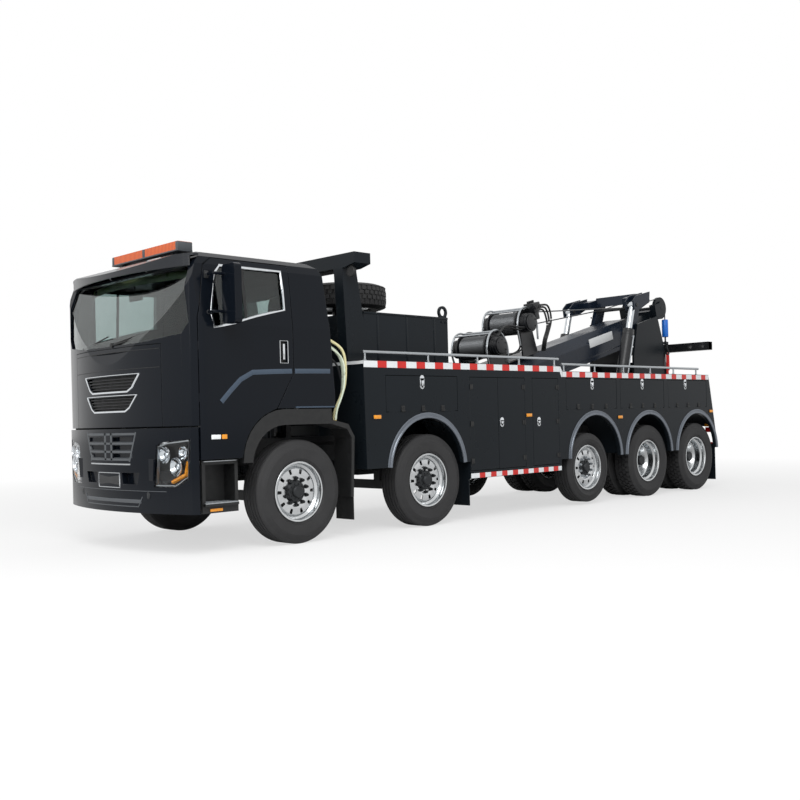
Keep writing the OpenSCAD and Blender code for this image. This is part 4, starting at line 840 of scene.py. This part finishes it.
white_lens = surface("white_marker_lens", "#d8dcde", "#eef1f2", 0.15, patch_mm=20.0, grain_mm=3.0, grain=0.2)
fit("roof_marker_lamps", strip_lamp_bm, white_lens, "truck")
shade_bm = bmesh.new()
add_bowed_bar(shade_bm, spread([(-1030, 2640), (1030, 2640)], 24), 74, 4, front=1175, proud=-26)
shade_green = surface("sun_band_tint", "#3d4a2c", "#52603b", 0.3, patch_mm=200.0, grain_mm=2.0)
fit("windscreen_sun_band", shade_bm, shade_green, "truck")
blind_bm = bmesh.new()
add_block(blind_bm, at(1060, -120, 2470), at(1085, 120, 2550), chamfer=8)
add_rod(blind_bm, at(1080, 0, 2545), at(1090, 0, 2680), 0.01, segments=10)
fit("inner_mirror", blind_bm, seat_plastic, "truck")


# Mirrors: moulded black housings on tubular arms, with a flat main glass and a curved one below it, and a
# kerb mirror on the far front corner. A small white lamp sits over each arm.
mirror_glass = surface("silvered_mirror", "#c7cdd2", "#d9dee2", 0.03, patch_mm=100.0, grain_mm=3.0, grain=0.0,
                       metallic=1.0)
for side, word in ((1, "left"), (-1, "right")):
    repaint(f"mirror_{word}", navy_gloss)
    glass_bm = bmesh.new()
    add_block(glass_bm, at(846, side * 1315, 2330), at(852, side * 1475, 2665), chamfer=2)
    add_block(glass_bm, at(846, side * 1315, 2165), at(852, side * 1475, 2310), chamfer=2)
    fit(f"mirror_glass_{word}", glass_bm, mirror_glass, f"cab_door_{word}")
    frame_bm = bmesh.new()
    for z0, z1 in ((2318, 2324), (2668, 2676), (2152, 2160)):
        add_block(frame_bm, at(843, side * 1306, z0), at(853, side * 1484, z1), chamfer=1)
    for z in (2250, 2600):
        add_block(frame_bm, at(1018, side * 1196, z - 34), at(1062, side * 1218, z + 34), chamfer=6)
        add_rod(frame_bm, at(1040, side * 1216, z), at(1040, side * 1240, z), 0.020, segments=16, chamfer=2)
    fit(f"mirror_frames_{word}", frame_bm, seat_plastic, f"cab_door_{word}")


# Steps and wheel arch trims of the cab: sprayed plastic and steel, with bright chequered treads.
repaint("front_fenders", rubber_trim)
tread_plate = surface("chequered_tread_plate", "#8f9498", "#c4c8cb", 0.3, patch_mm=18.0, grain_mm=14.0,
                      grain=0.9,
                      metallic=1.0)
for side, word in ((1, "left"), (-1, "right")):
    tread_bm = bmesh.new()
    add_block(tread_bm, at(742, side * 1010, 478), at(1108, side * 1216, 487), chamfer=2)
    add_block(tread_bm, at(742, side * 1010, 868), at(1108, side * 1196, 877), chamfer=2)
    for x in range(760, 1100, 30):
        for y in range(1030, 1200, 24):
            add_block(tread_bm, at(x, side * y, 486), at(x + 18, side * (y + 5), 490))
    fit(f"step_treads_{word}", tread_bm, tread_plate, "truck")
    marker_bm = bmesh.new()
    add_block(marker_bm, at(950, side * 1240, 1075), at(1050, side * 1256, 1118), chamfer=6)
    fit(f"cab_marker_{word}", marker_bm, white_lens, f"cab_door_{word}")
    amber_bm = bmesh.new()
    add_block(amber_bm, at(905, side * 1178, 405), at(1040, side * 1188, 432), chamfer=3)
    add_block(amber_bm, at(880, side * 1240, 1075), at(938, side * 1256, 1118), chamfer=6)
    fit(f"cab_reflector_{word}", amber_bm, amber_lens, f"cab_door_{word}")


# Locker body: folded and welded sheet steel in satin slate black. Its flaps hang on black strap hinges and
# shut with bright paddle latches; its tall doors turn on side hinges and have round latches. A seal runs
# round each.
slate_satin = surface("slate_satin_paint", "#12171b", "#161b20", 0.3, patch_mm=700.0, grain_mm=5.0,
                      grain=0.05,
                      specular=0.14, edge_mm=4.0)
repaint("body_shell", slate_satin)
DOORS = [("front_flap", -1165, -2295, 1300, 1690, "low"), ("locker_door_1", -2515, -3016, 590, 1685, "front"),
         ("locker_door_2", -3022, -3530, 590, 1685, "back"), ("locker_door_3", -3690, -4222, 590, 1685,
                                                              "back"),
         ("rear_flap_1", -4400, -5560, 1290, 1690, "low"), ("rear_flap_2", -5662, -6800, 1290, 1690, "low"),
         ("rear_flap_3", -6930, -8060, 1290, 1690, "low")]
paddle = {"front_flap": (-1720, 1624), "rear_flap_1": (-4984, 1624), "rear_flap_2": (-6221, 1628),
          "rear_flap_3": (-7421, 1632), "locker_door_1": None, "locker_door_2": (-3085, 1149),
          "locker_door_3": (-3809, 1140)}
for side, word in ((1, "left"), (-1, "right")):
    for name, front, back, low, high, hinge in DOORS:
        body = f"{name}_{word}"
        repaint(body, slate_satin)
        hinge_bm = bmesh.new()
        if hinge == "low":
            for x in (front - 0.22 * (front - back), (front + back) / 2, back + 0.22 * (front - back)):
                add_block(hinge_bm, at(x - 26, side * 1246, low + 8), at(x + 26, side * 1256, low + 62),
                          chamfer=3)
                add_rod(hinge_bm, at(x - 30, side * 1255, low + 4), at(x + 30, side * 1255, low + 4), 0.008,
                        segments=12)
                for dx in (-13, 13):
                    add_rod(hinge_bm, at(x + dx, side * 1255, low + 40), at(x + dx, side * 1260, low + 40),
                            0.006,
                            segments=6)
        else:
            edge = front if hinge == "front" else back
            inward = -1 if hinge == "front" else 1
            for z in (low + 110, (low + high) / 2, high - 110):
                x0, x1 = sorted((edge + inward * 8, edge + inward * 52))
                add_block(hinge_bm, at(x0, side * 1246, z - 28), at(x1, side * 1256, z + 28), chamfer=3)
                add_rod(hinge_bm, at(edge + inward * 5, side * 1255, z - 32),
                        at(edge + inward * 5, side * 1255, z + 32),
                        0.008, segments=12)
        fit(f"strap_hinges_{name}_{word}", hinge_bm, rubber_trim, body)
        if paddle[name]:
            x, z = paddle[name]
            latch_bm = bmesh.new()
            tall = 44 if hinge == "low" else 24
            add_rod(latch_bm, at(x, side * 1247, z + tall), at(x, side * 1254, z + tall), 0.034,
                    segments=28, chamfer=2)
            add_rod(latch_bm, at(x, side * 1247, z - tall), at(x, side * 1254, z - tall), 0.034,
                    segments=28, chamfer=2)
            add_block(latch_bm, at(x - 34, side * 1247, z - tall), at(x + 34, side * 1254, z + tall),
                      chamfer=2)
            add_block(latch_bm, at(x - 15, side * 1254, z - tall + 4),
                      at(x + 15, side * 1262, z + tall * 0.4),
                      chamfer=4)
            fit(f"latch_{name}_{word}", latch_bm, bright_trim, body)
            key_bm = bmesh.new()
            add_rod(key_bm, at(x, side * 1253, z - tall - 6), at(x, side * 1258, z - tall - 6), 0.013,
                    segments=16)
            add_block(key_bm, at(x - 20, side * 1252, z - tall + 8), at(x + 20, side * 1256, z + tall * 0.55),
                      chamfer=3)
            fit(f"latch_well_{name}_{word}", key_bm, rubber_trim, body)


# Conspicuity tape: glass-bead sheet stuck along the body's top edge and lower edge, white with red blocks,
# and amber marker lamps and reflectors screwed on above the arches.
def tape_finish(name, dark, light):
    """Reflective sheet with its pattern of small sealed cells."""
    material = surface(name, dark, light, 0.35, patch_mm=60.0, specular=0.4)
    tree = material.node_tree
    where = add(tree, "ShaderNodeTexCoord")
    cells = add(tree, "ShaderNodeTexVoronoi", {"Vector": where.outputs["Object"], "Scale": 260.0},
                feature="DISTANCE_TO_EDGE")
    shader = next(n for n in tree.nodes if n.type == "BSDF_PRINCIPLED")
    raised = add(tree, "ShaderNodeBump", {"Height": cells.outputs[0], "Strength": 0.25, "Distance": 0.0006})
    tree.links.new(raised.outputs[0], shader.inputs["Normal"])
    return material


white_tape = tape_finish("white_reflective_tape", "#d2d6d9", "#e6e9ea")
red_tape = tape_finish("red_reflective_tape", "#b81a16", "#cf2a22")
TAPES = [(-848, -4272, 1776, 1846, 0.295, 0.135, 200), (-4318, -8142, 1711, 1779, 0.292, 0.13, 90),
         (-2502, -4260, 500, 556, 0.205, 0.100, 150)]
for side, word in ((1, "left"), (-1, "right")):
    white_bm = bmesh.new()
    red_bm = bmesh.new()
    for front, back, low, high, pitch_m, block, lead in TAPES:
        add_block(white_bm, at(back, side * 1249, low), at(front, side * 1251.5, high))
        x = front - lead
        while x - block * 1000 > back:
            add_block(red_bm, at(x - block * 1000, side * 1250, low - 1), at(x, side * 1252.5, high + 1))
            x -= pitch_m * 1000
    add_plate(white_bm, [(-4270, 1776), (-4270, 1846), (-4286, 1842), (-4322, 1779), (-4322, 1711), (-4300, 1711)], 1249,
              1251.5, side)
    add_block(white_bm, at(-842, side * 760, 1812), at(-838, side * 1250, 1846))
    fit(f"white_tape_{word}", white_bm, white_tape, "truck")
    fit(f"red_tape_{word}", red_bm, red_tape, "truck")
    marker_bm = bmesh.new()
    base_bm = bmesh.new()
    for x, z in ((-1023, 1246), (-3606, 1225), (-5636, 1166), (-8190, 1215)):
        add_block(marker_bm, at(x - 52, side * 1251, z - 20), at(x + 52, side * 1266, z + 20), chamfer=6)
        add_block(base_bm, at(x - 62, side * 1248, z - 27), at(x + 62, side * 1256, z + 27), chamfer=3)
    fit(f"amber_markers_{word}", marker_bm, amber_lens, "truck")
    fit(f"marker_bases_{word}", base_bm, rubber_trim, "truck")


# Arch trims: rolled strips with a rounded bead, riveted round each wheel opening, coloured silver-grey as a painted
# highlight along their dark lip.
# The silver-grey is painted highlight along the arches' dark lip.
arch_trim_painted_highlight = surface("arch_trim_grey_painted_highlight", "#5c626a", "#767c85", 0.3, patch_mm=200.0, grain_mm=2.0, grain=0.08,
                    metallic=0.5)
ARCHES = [(-1800, 645, 696), (-5052, 627, 640), (-6390, 617, 640), (-7750, 612, 640)]
for side, word in ((1, "left"), (-1, "right")):
    arch_bm = bmesh.new()
    for x, z, foot in ARCHES:
        section = [(577, 1244), (577, 1262), (584, 1268), (596, 1266), (604, 1257), (622, 1257), (630, 1260),
                   (638, 1255), (638, 1244), (577, 1244)]
        low = math.degrees(math.asin((foot - z) / 600))
        verts = [arch_bm.verts.new(at(x + r * math.cos(math.radians(low)), side * y,
                                      z + r * math.sin(math.radians(low))))
                 for r, y in section[:-1]]
        edges = [arch_bm.edges.new((verts[k], verts[(k + 1) % len(verts)])) for k in range(len(verts))]
        arch_bm.faces.new(verts)
        bmesh.ops.spin(arch_bm, geom=verts + edges, cent=at(x, 0, z), axis=(0, -1, 0), dvec=(0, 0, 0),
                       angle=math.radians(180 - 2 * low), steps=56, use_merge=False, use_duplicate=False)
        loose = [e for e in arch_bm.edges if e.is_boundary]
        if loose:
            bmesh.ops.holes_fill(arch_bm, edges=loose, sides=0)
    fit(f"arch_trims_{word}", arch_bm, arch_trim_painted_highlight, "truck")


# Handrails: satin steel tube on posts with welded feet. Gantry: folded plate in body paint, with a round work
# lamp at the end of its beam, and the spare wheel lying on its carrier under a screwed clamp.
repaint("handrails", brushed_steel)
foot_bm = bmesh.new()
for side in (1, -1):
    for x in (-900, -1860, -2700, -3480, -4200):
        add_rod(foot_bm, at(x, side * 1215, 1850), at(x, side * 1215, 1862), 0.024, 0.015, segments=20)
    for x in (-4400, -5100, -5800, -6500, -7150, -7820):
        add_rod(foot_bm, at(x, side * 1215, 1785), at(x, side * 1215, 1797), 0.024, 0.015, segments=20)
fit("handrail_feet", foot_bm, brushed_steel, "truck")
gantry_paint = surface("gantry_satin_paint", "#0f1418", "#13191f", 0.28, patch_mm=600.0, grain_mm=5.0,
                       grain=0.04,
                       specular=0.16, edge_mm=6.0)
repaint("gantry", gantry_paint)
for side, word in ((1, "left"), (-1, "right")):
    lamp_bm = bmesh.new()
    add_lathe(lamp_bm, [(0, -40), (20, -38), (50, -20), (60, 6), (60, 22), (56, 26), (54, 20), (0, 16)],
              at(-834, side * 1120, 2800), 40, axis=(1, 0, 0))
    add_block(lamp_bm, at(-845, side * 1112, 2800), at(-825, side * 1128, 2868), chamfer=3)
    fit(f"work_lamp_{word}", lamp_bm, rubber_trim, "truck")
    stiff_bm = bmesh.new()
    for x in (-1300, -1750, -2200):
        add_block(stiff_bm, at(x - 14, side * 996, 1870), at(x + 14, side * 1004, 2380), chamfer=2)
    add_block(stiff_bm, at(-2428, side * 992, 2378), at(-1092, side * 1008, 2402), chamfer=3)
    for x, z in ((-2428, 2372), (-2362, 2376)):
        add_rod(stiff_bm, at(x + 35, side * 998, z - 30), at(x + 35, side * 1010, z - 30), 0.012, segments=6)
    fit(f"gantry_stiffeners_{word}", stiff_bm, gantry_paint, "truck")

spare_bm = bmesh.new()
spare_mid = at(-1670, 0, 2676)
add_lathe(spare_bm, tyre_profile(520, 296, True), spare_mid, axis=(0, 0, 1))
tread_blocks(spare_bm, 520, 296, spare_mid, 44, axis="Z", clear=1.0)
spare = fit("spare_tyre", spare_bm, rubber, "truck")
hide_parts("spare_wheel")
spare_rim_bm = bmesh.new()
add_lathe(spare_rim_bm, RIM_SECTION, spare_mid, axis=(0, 0, 1))
add_lathe(spare_rim_bm, [(0, 50), (118, 52), (150, 64), (262, 50), (262, 38), (150, 50), (118, 40), (0, 38)], spare_mid,
          axis=(0, 0, 1))
fit("spare_rim", spare_rim_bm, polished_alloy, "truck")
clamp_bm = bmesh.new()
add_block(clamp_bm, at(-1900, -60, 2738), at(-1440, 60, 2758), chamfer=5)
add_rod(clamp_bm, at(-1670, 0, 2716), at(-1670, 0, 2800), 0.02, segments=16)
add_rod(clamp_bm, at(-1670, 0, 2758), at(-1670, 0, 2784), 0.04, segments=6, chamfer=3)
fit("spare_clamp", clamp_bm, dark_hub, "truck")


# Boom: two welded box sections in blue-black paint that slide in each other on plastic pads, with a portal at
# the outer one's end. The winches' drums carry close turns of steel rope, which runs out under the portal to
# the sheaves.
boom_paint = surface("boom_blue_black_paint", "#101722", "#172231", 0.26, patch_mm=500.0, grain_mm=5.0,
                     grain=0.05,
                     specular=0.25, edge_mm=6.0)
repaint("boom_outer", boom_paint)
repaint("boom_inner", gantry_paint)
repaint("recovery_frame", slate_satin)
winch_paint = surface("winch_black_paint", "#0c0d10", "#16181c", 0.35, patch_mm=90.0, grain_mm=4.0, grain=0.1,
                      edge_mm=6.0)
repaint("winches", winch_paint)
BOOM_FOOT = at(-3900, 0, 1587)
BOOM_TURN = Matrix.Rotation(math.radians(14.5), 4, "Y")


def on_boom(x, y, z):
    """A place on the boom, in millimetres from its foot pin along, across and square to it, in the frame."""
    return BOOM_FOOT + BOOM_TURN @ Vector((x / 1000, y / 1000, z / 1000))


def add_boom_block(bm, low, high, chamfer=0.0):
    """A block lined up with the boom."""
    add_block(bm, Vector(low) / 1000, Vector(high) / 1000, chamfer,
              turn=Matrix.Translation(BOOM_FOOT) @ BOOM_TURN)


wire_rope = surface("greased_wire_rope", "#4c4e50", "#6f7173", 0.4, patch_mm=12.0, grain_mm=4.0, grain=0.8,
                    metallic=0.8)
drum_bm = bmesh.new()
guard_bm = bmesh.new()
motor_bm = bmesh.new()
for x, z in ((-359, 509), (-1086, 683)):
    turns = []
    for k in range(26):
        y = -234 + k * 18
        turns += [(148, y), (156, y + 4), (159, y + 9), (156, y + 14)]
    add_lathe(drum_bm, [(120, -234)] + turns + [(148, 234), (120, 234)], on_boom(x, 0, z), 48)
    for s in (1, -1):
        for k in range(12):
            angle = k * math.tau / 12
            spot = on_boom(x, s * 262, z) + Vector((0.165 * math.sin(angle), 0, 0.165 * math.cos(angle)))
            add_rod(motor_bm, spot, spot + Vector((0, s * 0.014, 0)), 0.010, segments=6)
        for grow, y0, y1 in ((136, 300, 318), (136, 340, 358), (112, 399, 418)):
            add_rod(motor_bm, on_boom(x, s * y0, z), on_boom(x, s * y1, z), grow / 1000, segments=40,
                    chamfer=3)
        for a in range(0, 360, 60):
            spot = on_boom(x, s * 399, z) + Vector((0.088 * math.sin(math.radians(a)), 0,
                                                   0.088 * math.cos(math.radians(a))))
            add_rod(motor_bm, spot, spot + Vector((0, s * 0.026, 0)), 0.011, segments=6)
    for s in (1, -1):
        arc = smooth_path([on_boom(x + 205, s * 300, z - 280), on_boom(x + 215, s * 320, z),
                           on_boom(x + 90, s * 320, z + 192), on_boom(x - 90, s * 320, z + 192),
                           on_boom(x - 215, s * 320, z), on_boom(x - 205, s * 300, z - 280)], steps=8)
        add_tube(guard_bm, arc, 0.014, segments=10)
    for dx, dz in ((90, 192), (-90, 192)):
        add_tube(guard_bm, [on_boom(x + dx, -320, z + dz), on_boom(x + dx, 320, z + dz)], 0.014, segments=10)
fit("winch_rope_turns", drum_bm, wire_rope, "boom")
fit("winch_motor_flanges", motor_bm, winch_paint, "boom")
fit("winch_guard_tubes", guard_bm, brushed_steel, "boom")

valve_bm = bmesh.new()
add_boom_block(valve_bm, (-1330, 240, 800), (-1180, 420, 930), chamfer=8)
add_boom_block(valve_bm, (-1300, 262, 690), (-1210, 400, 800), chamfer=8)
for k in range(4):
    add_boom_block(valve_bm, (-1320 + k * 36, 300, 929), (-1298 + k * 36, 330, 962), chamfer=3)
    add_boom_block(valve_bm, (-1322 + k * 36, 419, 840), (-1296 + k * 36, 445, 890), chamfer=4)
add_boom_block(valve_bm, (-1290, 180, 700), (-1220, 262, 760), chamfer=3)
fit("winch_valve_block", valve_bm, winch_paint, "boom")
hose_rubber = surface("hydraulic_hose_rubber", "#0c0d0e", "#17181a", 0.45, patch_mm=40.0, grain_mm=2.0,
                      grain=0.4)
hose_bm = bmesh.new()
for k, (y, reach) in enumerate(((430, 120), (405, 96), (380, 74))):
    loop = [on_boom(-1335, y - 20, 880 - k * 26), on_boom(-1365 - reach, y, 830 - k * 30),
            on_boom(-1380 - reach, y, 620 - k * 30), on_boom(-1330, y - 10, 380), on_boom(-1310, y - 60, 226)]
    add_tube(hose_bm, smooth_path(loop, steps=8), 0.014, segments=10)
for k, y in enumerate((-330, 345, 372)):
    loop = [on_boom(-360, y, 640), on_boom(-560, y + 10, 700 + k * 20), on_boom(-860, y + 8, 600 + k * 30),
            on_boom(-1010, y, 640)]
    add_tube(hose_bm, smooth_path(loop, steps=8), 0.012, segments=10)
for k, y in enumerate((-200, 190, 230)):
    loop = [on_boom(-300, y, 330), on_boom(-520, y * 1.25, 300 + k * 20), on_boom(-900, y * 1.2, 330),
            on_boom(-1060, y, 480)]
    add_tube(hose_bm, smooth_path(loop, steps=8), 0.013, segments=10)
fit("winch_hoses", hose_bm, hose_rubber, "boom")

rope_bm = bmesh.new()
for side, start, lift in ((1, (-1086, 683), 158), (-1, (-359, 509), 158)):
    add_tube(rope_bm, [on_boom(start[0], side * 120, start[1] + lift), on_boom(-3680, side * 275, 392)],
             0.009,
             segments=10)
fit("winch_ropes", rope_bm, wire_rope, "boom")
rope_end_bm = bmesh.new()
for side in (1, -1):
    over = [on_boom(-3760, side * 278, 382), on_boom(-4300, side * 288, 371)]
    wheel_mid = on_boom(-4620, side * 290, 200)
    for turn in range(90, 181, 15):
        over.append(wheel_mid + 0.166 * Vector((math.cos(math.radians(turn)), 0,
                                                math.sin(math.radians(turn)))))
    add_tube(rope_end_bm, smooth_path(over, steps=3), 0.008, segments=10)
fit("sheave_ropes", rope_end_bm, wire_rope, "boom_inner")

label_bm = bmesh.new()
add_boom_block(label_bm, (-3140, 299, 0), (-2500, 303, 130), chamfer=1)
fit("blank_side_plate", label_bm, blank_white, "boom")
portal_bm = bmesh.new()
for side in (1, -1):
    for x, z in ((-3620, 300), (-3560, 180), (-3840, 440), (-3500, 60)):
        add_rod(portal_bm, on_boom(x, side * 364, z), on_boom(x, side * 374, z), 0.014, segments=6)
    add_rod(portal_bm, on_boom(-3374, side * 500, 463), on_boom(-3374, side * 682, 463), 0.030,
            segments=24, chamfer=3)
    add_rod(portal_bm, on_boom(0, side * 366, 0), on_boom(0, side * 384, 0), 0.062, segments=32, chamfer=4)
add_rod(portal_bm, on_boom(-3700, -298, 380), on_boom(-3700, 298, 380), 0.024, segments=20)
fit("portal_pins", portal_bm, dark_hub, "boom")
strip_bm = bmesh.new()
for side in (1, -1):
    add_boom_block(strip_bm, (-3400, side * 298 - 3, -150), (-420, side * 298 + 3, -132), chamfer=1)
fit("boom_side_beads", strip_bm, boom_paint, "boom")


# Rope ends: a blue plastic guard sleeve over each swaged end, and below it a hook that hangs on a red sling
# from the mast, stowed for the road.
blue_sleeve = surface("blue_guard_sleeve", "#0d63c8", "#1a78dc", 0.35, patch_mm=80.0, grain_mm=2.0,
                      grain=0.08)
red_sling = surface("red_sling_webbing", "#b51512", "#d42a22", 0.7, patch_mm=30.0, grain_mm=3.0, grain=0.6)
sleeve_bm = bmesh.new()
end_bm = bmesh.new()
sheave = on_boom(-4620, 0, 200)
for side in (1, -1):
    hang = Vector((sheave.x - 0.172, side * 0.290, sheave.z))
    add_lathe(sleeve_bm, [(12, -180), (46, -181), (52, -190), (52.5, -300), (52, -462), (46, -472), (12, -473), (12, -180)],
              hang, 36, axis=(0, 0, 1))
    add_rod(end_bm, hang + Vector((0, 0, -0.56)), hang + Vector((0, 0, -0.47)), 0.014, segments=16)
    add_rod(end_bm, hang + Vector((0, 0, -0.60)), hang + Vector((0, 0, -0.54)), 0.024, 0.018, segments=20)
fit("rope_guard_sleeves", sleeve_bm, blue_sleeve, "boom_inner")
fit("rope_swages", end_bm, dark_hub, "boom_inner")
sling_bm = bmesh.new()
hook_bm = bmesh.new()
for side in (1, -1):
    x, y = -8290, side * 440
    add_block(sling_bm, at(x - 28, y - 7, 1790), at(x + 28, y + 7, 2190), chamfer=3)
    add_block(sling_bm, at(x - 36, y + 8, 1900), at(x + 20, y + 20, 2150), chamfer=4)
    hook = smooth_path([at(x, y, 2330), at(x - 4, y, 2250), at(x - 46, y, 2200), at(x - 22, y, 2160),
                        at(x + 34, y, 2180)], steps=8)
    add_tube(hook_bm, hook, 0.017, segments=12)
    add_rod(hook_bm, at(x, y, 2320), at(x, y, 2370), 0.024, segments=16, chamfer=3)
    add_rod(hook_bm, at(x, side * 418, 2350), at(x, y + side * 20, 2350), 0.012, segments=12)
    add_block(hook_bm, at(x - 40, side * 418, 2330), at(x + 90, side * 424, 2370), chamfer=2)
fit("sling_webbing", sling_bm, red_sling, "truck")
fit("stowed_hooks", hook_bm, dark_hub, "truck")


# Lift cylinders: black barrels with a bright gland nut and ports, and ground chromed rods, on greased pins.
repaint("lift_barrels", winch_paint)
chrome_rod = surface("ground_chrome_rod", "#b9bec2", "#d5d9dc", 0.08, patch_mm=60.0, grain_mm=1.0, grain=0.02,
                     metallic=1.0)
repaint("lift_rods", chrome_rod)
lean = math.atan2(520, 1680)
LIFT_UP = Vector((-math.sin(lean), 0, math.cos(lean)))
gland_bm = bmesh.new()
pipe_bm = bmesh.new()
for side in (1, -1):
    foot = at(-6530, side * 590, 1200)
    add_lathe(gland_bm, [(90, 1290), (94, 1294), (94, 1346), (88, 1358), (56, 1364), (52, 1362), (52, 1300)], foot, 40,
              axis=tuple(LIFT_UP))
    for reach in (150, 1240):
        spot = foot + LIFT_UP * (reach / 1000)
        add_rod(pipe_bm, spot + Vector((0, side * 0.080, 0)), spot + Vector((0, side * 0.112, 0)), 0.018,
                segments=6)
    add_tube(pipe_bm, [foot + LIFT_UP * 0.15 + Vector((0, side * 0.108, 0)),
                       foot + LIFT_UP * 1.24 + Vector((0, side * 0.108, 0))], 0.010, segments=10)
fit("lift_glands", gland_bm, winch_paint, "lift_barrels")
fit("lift_pipes", pipe_bm, brushed_steel, "lift_barrels")


# Underlift: welded box arms that fold up behind the body, with greased pins, and a crossbar with fork
# receivers.
underlift_paint = surface("underlift_black_paint", "#0a0b0d", "#121417", 0.38, patch_mm=250.0,
                          grain_mm=4.0, grain=0.12,
                          edge_mm=5.0)
for node in ("underlift_column", "underlift_arm", "underlift_extension", "crossbar"):
    repaint(node, underlift_paint)
arm_bm = bmesh.new()
for side in (1, -1):
    add_rod(arm_bm, at(-8730, side * 152, 830), at(-8730, side * 172, 830), 0.055, segments=28, chamfer=4)
fit("underlift_pin_caps", arm_bm, dark_hub, "underlift_column")
collar_bm = bmesh.new()
for z in (1960, 2020):
    for low, high in (((-8849.5, -122), (-8846, 122)), ((-8612, -122), (-8608, 122))):
        add_block(collar_bm, at(low[0], low[1], z), at(high[0] + 0, high[1], z + 34), chamfer=1)
for side in (1, -1):
    for z in (980, 1180, 1380):
        add_rod(collar_bm, at(-8730, side * 119, z), at(-8730, side * 127, z), 0.012, segments=6)
fit("underlift_arm_collar", collar_bm, underlift_paint, "underlift_arm")
fork_bm = bmesh.new()
for y in (-865, -645, 645, 865):
    for x0, x1 in ((-8800, -8794), (-8666, -8660)):
        add_lathe(fork_bm, [(33, 0), (50, 0), (50, 6), (33, 6), (33, 0)], at(x0, y, 2285), 28, axis=(1, 0, 0))
for side in (1, -1):
    add_block(fork_bm, at(-8796, side * 962, 2219), at(-8664, side * 975, 2351), chamfer=4)
fit("crossbar_receivers", fork_bm, dark_hub, "crossbar")


# Rear of the body: lamp clusters with red, amber and clear lenses on each corner, and a blank plate between.
rear_lamp_bm = bmesh.new()
rear_red_bm = bmesh.new()
rear_amber_bm = bmesh.new()
def rear_x(z):
    """Where the body's sloping back stands at a height."""
    return -8385 + 245 * (z - 640) / 1145


for side in (1, -1):
    for z0, z1, target in ((880, 960, rear_red_bm), (970, 1030, rear_amber_bm), (1040, 1110, rear_red_bm),
                           (1120, 1160, rear_lamp_bm)):
        x = rear_x((z0 + z1) / 2)
        add_block(target, at(x - 22, side * 1080, z0), at(x + 20, side * 1220, z1), chamfer=6)
fit("rear_reversing_lamps", rear_lamp_bm, white_lens, "truck")
fit("rear_red_lamps", rear_red_bm, red_lens, "truck")
fit("rear_amber_lamps", rear_amber_bm, amber_lens, "truck")
rear_white_bm = bmesh.new()
rear_stripe_bm = bmesh.new()
for side in (1, -1):
    for k in range(6):
        y0 = 770 + k * 78
        add_block(rear_white_bm if k % 2 else rear_stripe_bm, at(-8384, side * y0, 650),
                  at(-8388, side * (y0 + 78), 720))
fit("rear_white_tape", rear_white_bm, white_tape, "truck")
fit("rear_red_tape", rear_stripe_bm, red_tape, "truck")
